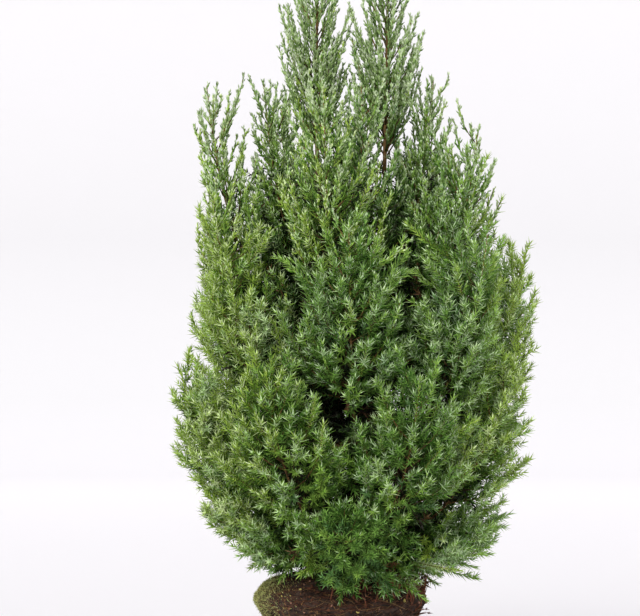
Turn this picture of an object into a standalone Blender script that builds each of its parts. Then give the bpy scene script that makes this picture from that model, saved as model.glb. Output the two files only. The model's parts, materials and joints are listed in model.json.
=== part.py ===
"""A young Chinese juniper on its root ball, as a nursery sells it once the pot is off.

Two upright stems rise from the ball, a straight trunk and a second stem that forks from its foot.
Boughs leave them in tiers and sweep outwards and up, and each one ends in a plume of foliage.
A plume is one stem with twigs round it at the golden angle, which bend up towards its tip.
Sizes are in metres. The origin is the middle of the ball's flat underside, +Z is up,
+X is the right-hand side of the front view, and the front looks along +Y.
"""

import collections
import math

import bmesh
import bpy
import numpy as np

SEED = 5
CLEAR = 0.0003  # gap kept where one piece meets another
SLIVER = 0.00001  # edges shorter than this are merged after a union

# Root ball: a turned body that bulges under a mounded top
BALL_TOP_Z = 0.166
BALL_FLAT_TOP_R = 0.040
BALL_BULGE_R = 0.092
BALL_BULGE_Z = 0.137
BALL_NECK_R = 0.082
BALL_NECK_Z = 0.121
BALL_BASE_R = 0.066
BALL_BASE_ROUNDING = 0.008
BALL_SIDES = 24

# Trunk and second stem
TRUNK_FOOT = (-0.028, 0.004)
TRUNK_TIP = (-0.024, 0.006, 0.600)
TRUNK_BOW = 0.004  # how far the trunk bows aside half-way up
TRUNK_R = 0.0062
FLARE_R = 0.0105
FLARE_HEIGHT = 0.020
TRUNK_TIP_R = 0.0024
SECOND_FORK_Z = 0.179
SECOND_HIGHER = 0.016  # boughs leave the second stem this much higher than the trunk, where it stands free
SECOND_BEND = (0.046, -0.012, 0.225)
SECOND_TIP = (0.047, -0.008, 0.590)
SECOND_R = 0.0048
SECOND_TIP_R = 0.0022
STEM_POINTS = 10

# Boughs
BOUGH_ROOT_R = 0.0026
BOUGH_TIP_R = 0.0015
BOUGH_POINTS = 5
BOUGH_STRAIGHT = 0.005  # the last stretch of a bough is in line with the stem it carries
BOUGH_STEP_Z = 0.0058  # the boughs of a tier leave their stem in a spiral, this far apart in height

# One row for each tier of plumes. A plume's stem runs from its foot to its tip; r is the distance from the
# tier's middle, z the height. shift is how far right of the ball's axis the tier stands, and lean is how much
# lower its tips are on the right than in the middle. Plumes of an inner tier grow straight from the stems.
Tier = collections.namedtuple(
    "Tier", "name inner count first_deg root_z foot_r foot_z tip_r tip_z half_width shift lean"
)
TIERS = (
    Tier("skirt", False, 5, 338, 0.177, 0.056, 0.190, 0.152, 0.206, 0.058, 0.014, 0.024),
    Tier("low", False, 7, 238, 0.210, 0.084, 0.222, 0.184, 0.395, 0.068, 0.012, 0.000),
    Tier("middle", False, 7, 262, 0.266, 0.086, 0.326, 0.176, 0.545, 0.072, 0.022, 0.016),
    Tier("upper", False, 5, 262, 0.356, 0.078, 0.428, 0.150, 0.672, 0.070, 0.010, 0.026),
    Tier("heart", True, 3, 225, 0.318, 0.0, 0.0, 0.060, 0.500, 0.060, 0.010, 0.000),
    Tier("inner", True, 4, 272, 0.430, 0.0, 0.0, 0.090, 0.690, 0.056, 0.012, 0.000),
)
INNER_TURNS_DEG = (0, 12, -12, 24, -24, 36, -36)  # tried until an inner plume's stem is clear of the limbs
DEPTH_SHARE = 0.95  # depth of the crown over its width
AZIMUTH_JITTER_DEG = 5
HEIGHT_JITTER = 0.012
RADIUS_JITTER = 0.005
PLUME_RISE = 0.32  # a plume's stem first runs out, then turns up: share of its rise at its bend
PLUME_OUT = 0.78  # share of its way out at its bend

# Leader plumes that stand on the tips of the two stems: where the tip is, half width
LEADERS = (
    ("leader_left", (-0.022, 0.004, 0.850), 0.046),
    ("leader_right", (0.052, -0.010, 0.838), 0.046),
)

# Twigs, by the rule that every plume follows
TWIGS = 44
KEPT_TWIG_STEP = 4  # the solids keep one twig in four
GOLDEN_DEG = 137.508
FIRST_TWIG, LAST_TWIG = 0.05, 0.90  # shares of the stem's length
TWIG_START_DEG, TWIG_END_DEG = 60, 20  # angle to the stem at a twig's foot and tip
LEADER_TWIG_START_DEG, LEADER_TWIG_END_DEG = 46, 24
TWIG_UP = 0.30  # how much twigs turn to the sky
TWIG_LONGEST, TWIG_SHORTENING = 1.75, 1.25  # twig length over half width: 1.75 at the foot, less upwards
TWIG_JITTER = 0.16
FLATNESS = 0.86  # a plume is this much thinner from front to back than across
SHORTER = (1.0, 0.85, 0.7, 0.55)  # lengths that are tried before a twig is left out
SPACE_MARGIN = 0.0011
LIMB_MARGIN = 0.0012
BALL_MARGIN = 0.003
STEM_MARGIN = 0.005

# A spray is a slim three-sided core along a twig, with three needles that stand out of it
SPRAY_R, SPRAY_WIDEST = 0.060, 0.50  # core radius over twig length, and where along the twig it is widest
NEEDLE_OUT, NEEDLE_ON = 0.168, 0.80  # where a needle's tip is: off the twig and along it
SPIRE_FROM = 0.70  # the stem's own last stretch carries a spray too

# A plume's core
CORE_SEGMENTS, CORE_RINGS = 6, 5
CORE_FROM, CORE_TO = 0.05, 0.90
CORE_SHARE, LEADER_CORE_SHARE = 0.59, 0.42  # core radius over half width
CORE_BLUNT = 0.65  # below 1, the core is blunter at its ends than a stretched ball
CORE_SAMPLES = 5  # places tried along each edge of a core's face
CORE_SMALLEST = 0.12
CORE_DRAW_IN = 0.85
CORE_ROUNDS = 14
STEM_INTO_CORE = 0.25  # how far the bare stem runs into its plume

Plume = collections.namedtuple("Plume", "name bend half_width side bough parent stem_r angles core_share")


def clear_scene():
    for thing in list(bpy.data.objects):
        bpy.data.objects.remove(thing, do_unlink=True)


def new_collection(name, hidden=False):
    made = bpy.data.collections.new(name)
    made.hide_render = hidden
    bpy.context.scene.collection.children.link(made)
    return made


def new_material(name, colour, roughness):
    made = bpy.data.materials.new(name)
    made.use_nodes = True
    shader = made.node_tree.nodes["Principled BSDF"]
    shader.inputs["Base Color"].default_value = (*colour, 1)
    shader.inputs["Roughness"].default_value = roughness
    shader.inputs["Metallic"].default_value = 0
    return made


def bezier(bend, share):
    """Points of a three-point curve at an array of shares from 0 to 1."""
    start, middle, end = (np.asarray(point, float) for point in bend)
    share = np.asarray(share, float)[..., None]
    return (1 - share) ** 2 * start + 2 * share * (1 - share) * middle + share**2 * end


def heading(bend, share):
    """Unit direction of a three-point curve at a share of its length."""
    start, middle, end = (np.asarray(point, float) for point in bend)
    share = np.asarray(share, float)[..., None]
    way = (1 - share) * (middle - start) + share * (end - middle)
    return way / np.linalg.norm(way, axis=-1, keepdims=True)


def unit(vector):
    return vector / np.linalg.norm(vector, axis=-1, keepdims=True)


def gap_to_path(points, path, radii):
    """Distance of each point to a tapered limb that follows path, less the limb's radius there."""
    start, way = path[:-1], path[1:] - path[:-1]
    offset = points[:, None] - start
    share = np.clip((offset * way).sum(2) / (way * way).sum(1), 0, 1)
    distance = np.linalg.norm(offset - share[..., None] * way, axis=2)
    return (distance - radii[:-1] - share * (radii[1:] - radii[:-1])).min(axis=1)


def ball_outline():
    """(radius, height) from the middle of the mounded top, down the outside, to the middle of the base."""
    bulge = []
    for turn in np.linspace(0, 1, 5):
        angle = turn * math.pi / 2
        bulge.append(
            (
                BALL_FLAT_TOP_R + (BALL_BULGE_R - BALL_FLAT_TOP_R) * math.sin(angle),
                BALL_BULGE_Z + (BALL_TOP_Z - BALL_BULGE_Z) * math.cos(angle),
            )
        )
    corner = []
    for angle in (0, math.pi / 4, math.pi / 2):
        inset = BALL_BASE_ROUNDING * (1 - math.cos(angle))
        corner.append((BALL_BASE_R - inset, BALL_BASE_ROUNDING * (1 - math.sin(angle))))
    return [(0, BALL_TOP_Z), *bulge, (BALL_NECK_R, BALL_NECK_Z), *corner, (0, 0)]


def make_root_ball(collection, material):
    outline = ball_outline()
    mesh = bpy.data.meshes.new("root_ball")
    mesh.from_pydata([(r, 0, z) for r, z in outline], [(i, i + 1) for i in range(len(outline) - 1)], [])
    ball = bpy.data.objects.new("root_ball", mesh)
    collection.objects.link(ball)
    screw = ball.modifiers.new("Turned", "SCREW")
    screw.steps = screw.render_steps = BALL_SIDES
    screw.use_merge_vertices = True
    screw.merge_threshold = 0.0001
    mesh.materials.append(material)
    return ball


def over_ball(points):
    """Height of each point over the ball's mounded top, or a large number outside the ball."""
    outline = np.array(ball_outline()[:6])
    radius = np.hypot(points[:, 0], points[:, 1])
    return np.where(radius > BALL_BULGE_R + 0.002, 1.0, points[:, 2] - np.interp(radius, *outline.T))


def tapered(start_r, end_r, count):
    return np.linspace(start_r, end_r, count)


def trunk_limb():
    """(path, radii) of the trunk, from its flat cut on the ball to its tip, with the root flare."""
    foot = np.array([*TRUNK_FOOT, BALL_TOP_Z + CLEAR])
    share = np.linspace(0, 1, STEM_POINTS) ** 1.25
    path = foot + share[:, None] * (np.array(TRUNK_TIP) - foot)
    path[:, 0] += TRUNK_BOW * np.sin(math.pi * share)
    path[1, :2] = foot[:2]
    radii = TRUNK_R + share * (TRUNK_TIP_R - TRUNK_R)
    height = path[:, 2] - foot[2]
    radii += (FLARE_R - TRUNK_R) * np.clip(1 - height / FLARE_HEIGHT, 0, 1) ** 1.5
    return path, radii


def second_limb(trunk_path):
    """(path, radii) of the second stem, which forks from inside the trunk."""
    fork = [np.interp(SECOND_FORK_Z, trunk_path[:, 2], trunk_path[:, axis]) for axis in (0, 1)]
    path = bezier(((*fork, SECOND_FORK_Z), SECOND_BEND, SECOND_TIP), np.linspace(0, 1, STEM_POINTS))
    return path, tapered(SECOND_R, SECOND_TIP_R, STEM_POINTS)


def point_at(path, height):
    return np.array([np.interp(height, path[:, 2], path[:, axis]) for axis in range(3)])


def plume_plans(stems):
    """Every plume of the tiers, with the limb of the bough that carries it."""
    rng = np.random.default_rng(SEED)
    plans = []
    limbs = list(stems)
    for tier in TIERS:
        for number in range(tier.count):
            chance = rng.uniform(-1, 1, 3)
            if tier.inner:
                choices = [plume_plan(tier, number, chance, stems, turn) for turn in INNER_TURNS_DEG]
                plan = next(choice for choice in choices if stem_gap(choice, limbs) > STEM_MARGIN)
            else:
                plan = plume_plan(tier, number, chance, stems, 0)
                limbs.append(plan.bough)
            plans.append(plan)
    return plans


def stem_gap(plan, limbs):
    """How clear a plume's stem is of the limbs, from a little above its foot to its tip."""
    points = bezier(plan.bend, np.linspace(0.1, 1, 20))
    return min(gap_to_path(points, path, radii).min() for path, radii in limbs)


def plume_plan(tier, number, chance, stems, turn_deg):
    """One plume of a tier; chance holds three numbers from -1 to 1 for its azimuth, height and reach."""
    azimuth = tier.first_deg + number * 360 / tier.count + chance[0] * AZIMUTH_JITTER_DEG + turn_deg
    azimuth = math.radians(azimuth)
    out = np.array([math.cos(azimuth), math.sin(azimuth) * DEPTH_SHARE, 0])
    middle = np.array([tier.shift, 0, 0])
    tip_z = tier.tip_z + chance[1] * HEIGHT_JITTER - tier.lean * out[0]
    tip = middle + out * (tier.tip_r + chance[2] * RADIUS_JITTER) + [0, 0, tip_z]
    foot = middle + out * tier.foot_r + [0, 0, tier.foot_z]
    place = number * 2 % (tier.count | 1)  # neighbours leave the stem two places apart
    root_z = tier.root_z + BOUGH_STEP_Z * place
    if tier.inner:
        foot, parent = foot_on_stem(stems, tip, root_z)
    bend = foot + (tip - foot) * [PLUME_OUT, PLUME_OUT, PLUME_RISE]
    bough = None
    if not tier.inner:
        bough, parent = bough_limb(stems, foot, bend, root_z)
    side = np.array([-math.sin(azimuth), math.cos(azimuth), 0])
    angles = (TWIG_START_DEG, TWIG_END_DEG)
    name = f"{tier.name}_{number + 1}"
    return Plume(name, (foot, bend, tip), tier.half_width, side, bough, parent, BOUGH_TIP_R, angles, CORE_SHARE)


def foot_on_stem(stems, tip, root_z):
    """(foot, parent) of an inner plume, whose stem's flat end stands just clear of the nearer of the two stems."""
    roots = [point_at(path, root_z) for path, _ in stems]
    parent = int(np.argmin([np.hypot(*(tip - root)[:2]) for root in roots]))
    way = unit((tip - roots[parent]) * [PLUME_OUT, PLUME_OUT, PLUME_RISE])
    first, second = across_of(way, np.array([0, 0, 1.0]))
    around = np.linspace(0, 2 * math.pi, 12)[:, None]
    rim = BOUGH_TIP_R * (np.cos(around) * first + np.sin(around) * second)
    away = BOUGH_TIP_R
    while gap_to_path(roots[parent] + way * away + rim, *stems[parent]).min() < CLEAR:
        away += CLEAR / 10
    return roots[parent] + way * away, parent


def bough_limb(stems, foot, bend, root_z):
    """((path, radii), parent) of the bough that leaves a stem at root_z and ends just short of a plume.

    It comes from the nearer stem, unless it would run into the other one on its way.
    """
    into = unit(bend - foot)
    end = foot - into * CLEAR
    choices = []
    for parent, (stem, _) in enumerate(stems):
        root = point_at(stem, root_z + parent * SECOND_HIGHER)
        middle = end - into * 0.45 * np.linalg.norm(end - root)
        path = bezier((root, middle, end), np.linspace(0, 1, BOUGH_POINTS))
        path[-2] = end - into * BOUGH_STRAIGHT
        on_the_way = bezier((root, middle, end), np.linspace(0.08, 1, 24))
        free = gap_to_path(on_the_way, *stems[1 - parent]).min() > BOUGH_ROOT_R + LIMB_MARGIN
        choices.append((not free, np.linalg.norm(foot - root), parent, path))
    *_, parent, path = min(choices, key=lambda choice: choice[:2])
    return (path, tapered(BOUGH_ROOT_R, BOUGH_TIP_R, BOUGH_POINTS)), parent


def leader_plans(stems):
    """The two plumes that carry on from the stems' tips."""
    plans = []
    for parent, (name, tip, half_width) in enumerate(LEADERS):
        path, radii = stems[parent]
        way = unit(path[-1] - path[-2])
        foot = path[-1] + way * CLEAR
        bend = foot + way * 0.5 * np.linalg.norm(np.array(tip) - foot)
        side = np.array([1.0, 0, 0])
        angles = (LEADER_TWIG_START_DEG, LEADER_TWIG_END_DEG)
        stem = (foot, bend, np.array(tip))
        plans.append(Plume(name, stem, half_width, side, None, parent, radii[-1], angles, LEADER_CORE_SHARE))
    return plans


def make_curve(name, path, radii, resolution, collection):
    """A limb as a curve: a point for each place on its path, bevelled to the radius there, with filled caps."""
    curve = bpy.data.curves.new(name, "CURVE")
    curve.dimensions = "3D"
    curve.bevel_depth = float(radii[0])
    curve.bevel_resolution = resolution
    curve.use_fill_caps = True
    spline = curve.splines.new("POLY")
    spline.points.add(len(path) - 1)
    for point, place, radius in zip(spline.points, path, radii):
        point.co = (*place, 1)
        point.radius = radius / radii[0]
    made = bpy.data.objects.new(name, curve)
    collection.objects.link(made)
    return made


def as_mesh(curve_object, collection):
    """The curve as a welded mesh object with the same name and place, so that a Boolean can work on it."""
    bpy.context.view_layer.update()
    graph = bpy.context.evaluated_depsgraph_get()
    mesh = bpy.data.meshes.new_from_object(curve_object.evaluated_get(graph))
    bm = bmesh.new()
    bm.from_mesh(mesh)
    bmesh.ops.remove_doubles(bm, verts=bm.verts, dist=0.00001)
    bm.to_mesh(mesh)
    bm.free()
    name, matrix = curve_object.name, curve_object.matrix_world.copy()
    bpy.data.objects.remove(curve_object)
    made = bpy.data.objects.new(name, mesh)
    made.matrix_world = matrix
    collection.objects.link(made)
    return made


def cut_clear(piece, cutter):
    cut = piece.modifiers.new("Seat", "BOOLEAN")
    cut.operation = "DIFFERENCE"
    cut.object = cutter


def make_limb(name, path, radii, resolution, collection, material, cutter=None):
    """A trunk, stem or bough. With a cutter, its root is shaped to the limb that carries it."""
    limb = as_mesh(make_curve(name, path, radii, resolution, collection), collection)
    limb.data.materials.append(material)
    limb.data.shade_smooth()
    if cutter:
        cut_clear(limb, cutter)
    return limb


def make_cutter(name, path, radii, resolution, collection):
    cutter = as_mesh(make_curve(name, path, radii + CLEAR, resolution, collection), collection)
    cutter.hide_render = True
    cutter.display_type = "WIRE"
    return cutter


def spray_shape():
    """Corners and faces of a spray on a twig of length 1 along +Z, radii as shares of that length.

    It is a three-sided cone on another that stands on its tip, with a needle drawn out of each lower side.
    """
    bm = bmesh.new()
    bmesh.ops.create_cone(bm, cap_ends=True, segments=3, radius1=SPRAY_R, radius2=0, depth=1 - SPRAY_WIDEST)
    bmesh.ops.remove_doubles(bm, verts=bm.verts, dist=0.0001)
    bmesh.ops.translate(bm, verts=bm.verts, vec=(0, 0, (1 + SPRAY_WIDEST) / 2))
    base = [face for face in bm.faces if abs(face.normal.z) > 0.99]
    foot = bmesh.ops.poke(bm, faces=base)["verts"][0]
    foot.co = (0, 0, 0)
    for corner in bmesh.ops.poke(bm, faces=list(foot.link_faces))["verts"]:
        across = math.hypot(corner.co.x, corner.co.y)
        corner.co = (corner.co.x / across * NEEDLE_OUT, corner.co.y / across * NEEDLE_OUT, NEEDLE_ON)
    bm.verts.index_update()
    corners = np.array([corner.co[:] for corner in bm.verts])
    faces = [[corner.index for corner in face.verts] for face in bm.faces]
    bm.free()
    return corners, faces


def across_of(way, side):
    """Two unit directions square to way, the first as near to side as it can be."""
    first = unit(side - (side * way).sum(-1, keepdims=True) * way)
    return first, np.cross(way, first)


def bent_spray(corners, twig):
    """The spray's corners laid along a twig's bend."""
    length = np.linalg.norm(twig[1] - twig[0]) + np.linalg.norm(twig[2] - twig[1])
    share = np.clip(corners[:, 2], 0, 1)
    way = heading(twig, share)
    first, second = across_of(way, np.array([0.31, 0.17, 0.93]))
    return bezier(twig, share) + length * (corners[:, :1] * first + corners[:, 1:2] * second)


def twig_rule(plan, seed):
    """Every twig of a plume, as the bend of each: foot on the stem, knee and tip."""
    number = np.arange(TWIGS)
    jitter = np.random.default_rng(seed).uniform(-1, 1, (TWIGS, 3))
    share = FIRST_TWIG + (LAST_TWIG - FIRST_TWIG) * (number + 0.5) / TWIGS
    foot = bezier(plan.bend, share)
    way = heading(plan.bend, share)
    first, second = across_of(way, np.broadcast_to(plan.side, way.shape))
    turn = np.radians(number * GOLDEN_DEG + jitter[:, 0] * 14)[:, None]
    out = unit(np.cos(turn) * first + np.sin(turn) * second * FLATNESS)
    length = plan.half_width * (TWIG_LONGEST - TWIG_SHORTENING * share) * (1 + TWIG_JITTER * jitter[:, 1])
    length *= np.where(np.abs(np.sin(turn[:, 0])) > 0.7, FLATNESS, 1)
    sky = np.array([0, 0, TWIG_UP])
    ways = []
    for degrees, up in zip(plan.angles, (0.3, 1)):
        angle = np.radians(degrees + jitter[:, 2] * 5)[:, None]
        ways.append(unit(np.cos(angle) * way + np.sin(angle) * out + up * sky))
    half = length[:, None] / 2
    return foot, foot + half * ways[0], foot + half * ways[0] + half * ways[1]


class Space:
    """The room that each plume keeps to: what is nearer to its stem than to any other, for its width."""

    def __init__(self, plans, limbs):
        self.widths = np.array([plan.half_width for plan in plans])
        self.paths = [bezier(plan.bend, np.linspace(0, 1, 9)) for plan in plans]
        self.limbs = limbs

    def to_stem(self, points, index):
        return gap_to_path(points, self.paths[index], np.zeros(9)) / self.widths[index]

    def is_free(self, points, index):
        """For each point, whether it is in the plume's room and clear of every limb and of the ball."""
        own = self.to_stem(points, index)
        nearest = np.min([self.to_stem(points, i) for i in range(len(self.paths)) if i != index], axis=0)
        free = (nearest - own) * self.widths[index] / 2 > SPACE_MARGIN
        free &= over_ball(points) > BALL_MARGIN
        for path, radii in self.limbs:
            free &= gap_to_path(points, path, radii) > LIMB_MARGIN
        return free


def core_mesh(index, plan, space):
    """A plume's core: a ball stretched along the stem, each corner drawn in until no face leaves the room."""
    bm = bmesh.new()
    bmesh.ops.create_uvsphere(bm, u_segments=CORE_SEGMENTS, v_segments=CORE_RINGS, radius=1)
    bm.verts.index_update()
    corners = np.array([corner.co[:] for corner in bm.verts])
    bmesh.ops.triangulate(bm, faces=bm.faces)
    faces = np.array([[corner.index for corner in face.verts] for face in bm.faces])
    along = (corners[:, 2] + 1) / 2
    share = CORE_FROM + (CORE_TO - CORE_FROM) * along
    first, second = across_of(heading(plan.bend, share), np.broadcast_to(plan.side, corners.shape))
    middle = bezier(plan.bend, share)
    blunt = np.maximum(np.hypot(corners[:, 0], corners[:, 1]), 0.001) ** (CORE_BLUNT - 1)
    flame = (plan.half_width * plan.core_share * blunt * (1 - 0.5 * along))[:, None]
    offset = flame * (corners[:, :1] * first + corners[:, 1:2] * FLATNESS * second)
    drawn = np.ones(len(corners))
    steps = range(CORE_SAMPLES)
    weights = np.array([(i, j, CORE_SAMPLES - 1 - i - j) for i in steps for j in steps if i + j < CORE_SAMPLES])
    for _ in range(CORE_ROUNDS):
        placed = middle + offset * drawn[:, None]
        samples = np.einsum("kv,fvx->fkx", weights / (CORE_SAMPLES - 1), placed[faces])
        free = space.is_free(samples.reshape(-1, 3), index).reshape(len(faces), -1).all(axis=1)
        drawn[np.unique(faces[~free])] *= CORE_DRAW_IN
        drawn = np.maximum(drawn, CORE_SMALLEST)
    for corner, place in zip(bm.verts, middle + offset * drawn[:, None]):
        corner.co = place
    mesh = bpy.data.meshes.new(plan.name)
    bm.to_mesh(mesh)
    bm.free()
    return mesh


def add_stem(plan, collection):
    """The bare foot of a plume's stem, which meets its bough's tip and is fused into the core."""
    foot, inside = bezier(plan.bend, np.array([0, STEM_INTO_CORE]))
    path = [foot, foot + heading(plan.bend, 0) * BOUGH_STRAIGHT, inside]
    radii = plan.stem_r * np.array([1, 0.95, 0.8])
    return as_mesh(make_curve(plan.name + "_stem", path, radii, 0, collection), collection)


def add_spray(name, corners, faces, collection):
    mesh = bpy.data.meshes.new(name)
    mesh.from_pydata([tuple(corner) for corner in corners], [], faces)
    made = bpy.data.objects.new(name, mesh)
    collection.objects.link(made)
    return made


def keep_largest_body(bm):
    """Drops loose scraps and the walls of sealed hollows: keeps the closed body with the largest volume."""
    bm.faces.ensure_lookup_table()
    bm.faces.index_update()
    left = set(range(len(bm.faces)))
    bodies = []
    while left:
        body, rim = set(), {min(left)}
        while rim:
            body |= rim
            rim = {other.index for i in rim for edge in bm.faces[i].edges for other in edge.link_faces} - body
        left -= body
        bodies.append(body)
    corners = [[corner.co for corner in face.verts] for face in bm.faces]
    sizes = [sum(corners[i][0].dot(corners[i][1].cross(corners[i][2])) for i in sorted(body)) for body in bodies]
    keep = bodies[int(np.argmax(sizes))]
    bmesh.ops.delete(bm, geom=[face for face in bm.faces if face.index not in keep], context="FACES")


def in_order(mesh):
    """The mesh with its corners and faces sorted by place, because a union numbers them afresh each time."""
    corners = [tuple(corner.co) for corner in mesh.vertices]
    order = sorted(range(len(corners)), key=corners.__getitem__)
    rank = {corner: place for place, corner in enumerate(order)}
    faces = []
    for face in mesh.polygons:
        loop = [rank[corner] for corner in face.vertices]
        first = loop.index(min(loop))
        faces.append(loop[first:] + loop[:first])
    mesh.clear_geometry()
    mesh.from_pydata([corners[corner] for corner in order], [], sorted(faces))
    return mesh


def cleaned(mesh, sliver):
    """The one body of a union, with edges shorter than sliver merged, or None if that isn't closed."""
    bm = bmesh.new()
    bm.from_mesh(in_order(mesh))
    bmesh.ops.triangulate(bm, faces=bm.faces, ngon_method="EAR_CLIP")
    bmesh.ops.dissolve_degenerate(bm, dist=sliver, edges=bm.edges)
    bmesh.ops.triangulate(bm, faces=bm.faces, ngon_method="EAR_CLIP")
    closed = all(edge.is_manifold for edge in bm.edges) and all(vert.is_manifold for vert in bm.verts)
    if closed:
        keep_largest_body(bm)
        bm.to_mesh(mesh)
    bm.free()
    return mesh if closed else None


def joined(plume, union):
    """The plume's mesh with the collection fused to it, or None if neither solver closes it.

    MANIFOLD comes first, as EXACT leaves some of these unions open, and not the same ones every time.
    """
    for solver in ("MANIFOLD", "EXACT"):
        union.solver = solver
        for sliver in (SLIVER, SLIVER / 100):
            bpy.context.view_layer.update()
            graph = bpy.context.evaluated_depsgraph_get()
            fused = cleaned(bpy.data.meshes.new_from_object(plume.evaluated_get(graph)), sliver)
            if fused:
                return fused
    return None


def fuse(plume, parts):
    """One Boolean union joins the collection of stem and sprays to the core, less a spray that spoils it."""
    union = plume.modifiers.new("Fused", "BOOLEAN")
    union.operation = "UNION"
    union.operand_type = "COLLECTION"
    union.collection = parts
    fused = joined(plume, union)
    spares = list(parts.objects)
    while fused is None:
        left_out = spares.pop()
        parts.objects.unlink(left_out)
        fused = joined(plume, union)
        parts.objects.link(left_out)
    plume.modifiers.remove(union)
    fused.name = plume.name
    plume.data = fused
    for part in list(parts.objects):
        bpy.data.objects.remove(part)
    bpy.data.collections.remove(parts)


def make_plume(index, plan, space, shape, collection, material):
    """One mass of foliage: a core, the foot of its stem, its sprays and the spire at its tip."""
    corners, faces = shape
    plume = bpy.data.objects.new(plan.name, core_mesh(index, plan, space))
    collection.objects.link(plume)
    parts = new_collection(plan.name + "_parts")
    add_stem(plan, parts)
    spire = bezier(plan.bend, np.array([SPIRE_FROM, (1 + SPIRE_FROM) / 2, 1]))
    add_spray(plan.name + "_spire", bent_spray(corners, spire), faces, parts)
    foot, knee, tip = twig_rule(plan, SEED + index)
    for number in range(0, TWIGS, KEPT_TWIG_STEP):
        for shorter in SHORTER:
            start = foot[number]
            twig = np.array([start, start + shorter * (knee[number] - start), start + shorter * (tip[number] - start)])
            laid = bent_spray(corners, twig)
            samples = np.vstack([laid, laid[faces].mean(axis=1), bezier(twig, np.linspace(0.2, 1, 6))])
            if space.is_free(samples, index).all():
                add_spray(f"{plan.name}_spray_{number}", laid, faces, parts)
                break
    fuse(plume, parts)
    plume.data.materials.append(material)
    return plume


def main():
    clear_scene()
    plant = new_collection("chinese_juniper")
    cutters = new_collection("cutters", hidden=True)
    bark = new_material("bark", (0.20, 0.11, 0.07), 0.9)
    soil = new_material("root_mass", (0.09, 0.045, 0.03), 0.95)
    green = new_material("foliage", (0.13, 0.26, 0.06), 0.7)

    make_root_ball(plant, soil)
    trunk = trunk_limb()
    second = second_limb(trunk[0])
    stems = (trunk, second)
    make_limb("trunk", *trunk, 2, plant, bark)
    stem_cutters = [make_cutter("trunk_cutter", *trunk, 2, cutters), make_cutter("second_cutter", *second, 2, cutters)]
    make_limb("second_stem", *second, 2, plant, bark, stem_cutters[0])

    plans = plume_plans(stems) + leader_plans(stems)
    limbs = [trunk, second]
    for plan in plans:
        if plan.bough:
            limbs.append(plan.bough)
            make_limb(f"bough_{plan.name}", *plan.bough, 1, plant, bark, stem_cutters[plan.parent])

    shape = spray_shape()
    space = Space(plans, limbs)
    for index, plan in enumerate(plans):
        make_plume(index, plan, space, shape, plant, green)


main()
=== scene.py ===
"""The looks of a young Chinese juniper on its root ball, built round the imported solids.

The ball, the two stems and their boughs get a finer skin. Each mass of foliage is grown again from its
bough by the rule that its solid follows, and carried on to side shoots, awl-shaped needles and cords of
scale leaves.
"""

import collections
import json
import math

import bpy
import numpy as np
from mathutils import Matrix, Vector

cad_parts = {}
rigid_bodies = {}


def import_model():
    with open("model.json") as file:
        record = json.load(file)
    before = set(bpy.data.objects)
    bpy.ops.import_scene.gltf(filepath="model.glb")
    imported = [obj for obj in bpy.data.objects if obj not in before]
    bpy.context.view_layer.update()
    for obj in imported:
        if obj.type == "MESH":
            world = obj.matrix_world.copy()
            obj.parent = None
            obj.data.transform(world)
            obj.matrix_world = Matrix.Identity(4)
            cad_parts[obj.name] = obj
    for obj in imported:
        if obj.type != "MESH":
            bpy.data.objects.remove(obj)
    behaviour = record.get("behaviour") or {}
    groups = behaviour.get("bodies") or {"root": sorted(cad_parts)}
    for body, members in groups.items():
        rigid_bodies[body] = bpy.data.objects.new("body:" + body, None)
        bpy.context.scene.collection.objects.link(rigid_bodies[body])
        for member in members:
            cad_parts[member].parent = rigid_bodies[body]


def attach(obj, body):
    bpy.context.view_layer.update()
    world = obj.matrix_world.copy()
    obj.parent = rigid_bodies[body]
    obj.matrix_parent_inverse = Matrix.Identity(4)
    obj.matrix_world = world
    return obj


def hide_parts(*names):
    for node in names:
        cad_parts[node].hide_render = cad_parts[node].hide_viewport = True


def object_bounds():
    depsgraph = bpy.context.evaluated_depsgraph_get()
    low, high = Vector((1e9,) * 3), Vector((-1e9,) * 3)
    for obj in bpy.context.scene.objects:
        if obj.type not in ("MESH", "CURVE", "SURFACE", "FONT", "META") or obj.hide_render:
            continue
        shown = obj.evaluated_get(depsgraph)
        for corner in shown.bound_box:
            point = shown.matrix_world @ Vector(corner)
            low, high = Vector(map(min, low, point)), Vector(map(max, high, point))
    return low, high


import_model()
cad_low, cad_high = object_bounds()

# Root ball
# Three litres of potting mix, moulded by a pot and held together by a mat of roots. Its top is a mound of
# mix that bulges over the straight side. It is turned from one outline and roughened inwards, to stay in
# its solid.
BALL_TOP_Z, BALL_FLAT_TOP_R = 0.166, 0.040
BALL_BULGE_R, BALL_BULGE_Z = 0.092, 0.137
BALL_NECK_R, BALL_NECK_Z = 0.082, 0.121
BALL_BASE_R, BALL_BASE_ROUNDING = 0.066, 0.008
BALL_STEPS, BALL_SIDES, OUTLINE_PLACES, ROUNDING_PLACES = 110, 230, 400, 24
BALL_ROUGHNESS, ROUGH_FROM_Z = 0.0042, 0.004
LUMP, LUMP_SHARE = 0.030, 0.32
CRUMB, CRUMB_SHARE = 0.006, 0.18
WAVES = 18
MIX_DARK, MIX_LIGHT = (0.015, 0.008, 0.005), (0.066, 0.034, 0.021)


def unit(vector):
    """Directions of length one."""
    return vector / np.linalg.norm(vector, axis=-1, keepdims=True)


def full_turn(count):
    """Equal steps round a circle, in radians."""
    return np.linspace(0, 2 * math.pi, count, endpoint=False)


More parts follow.
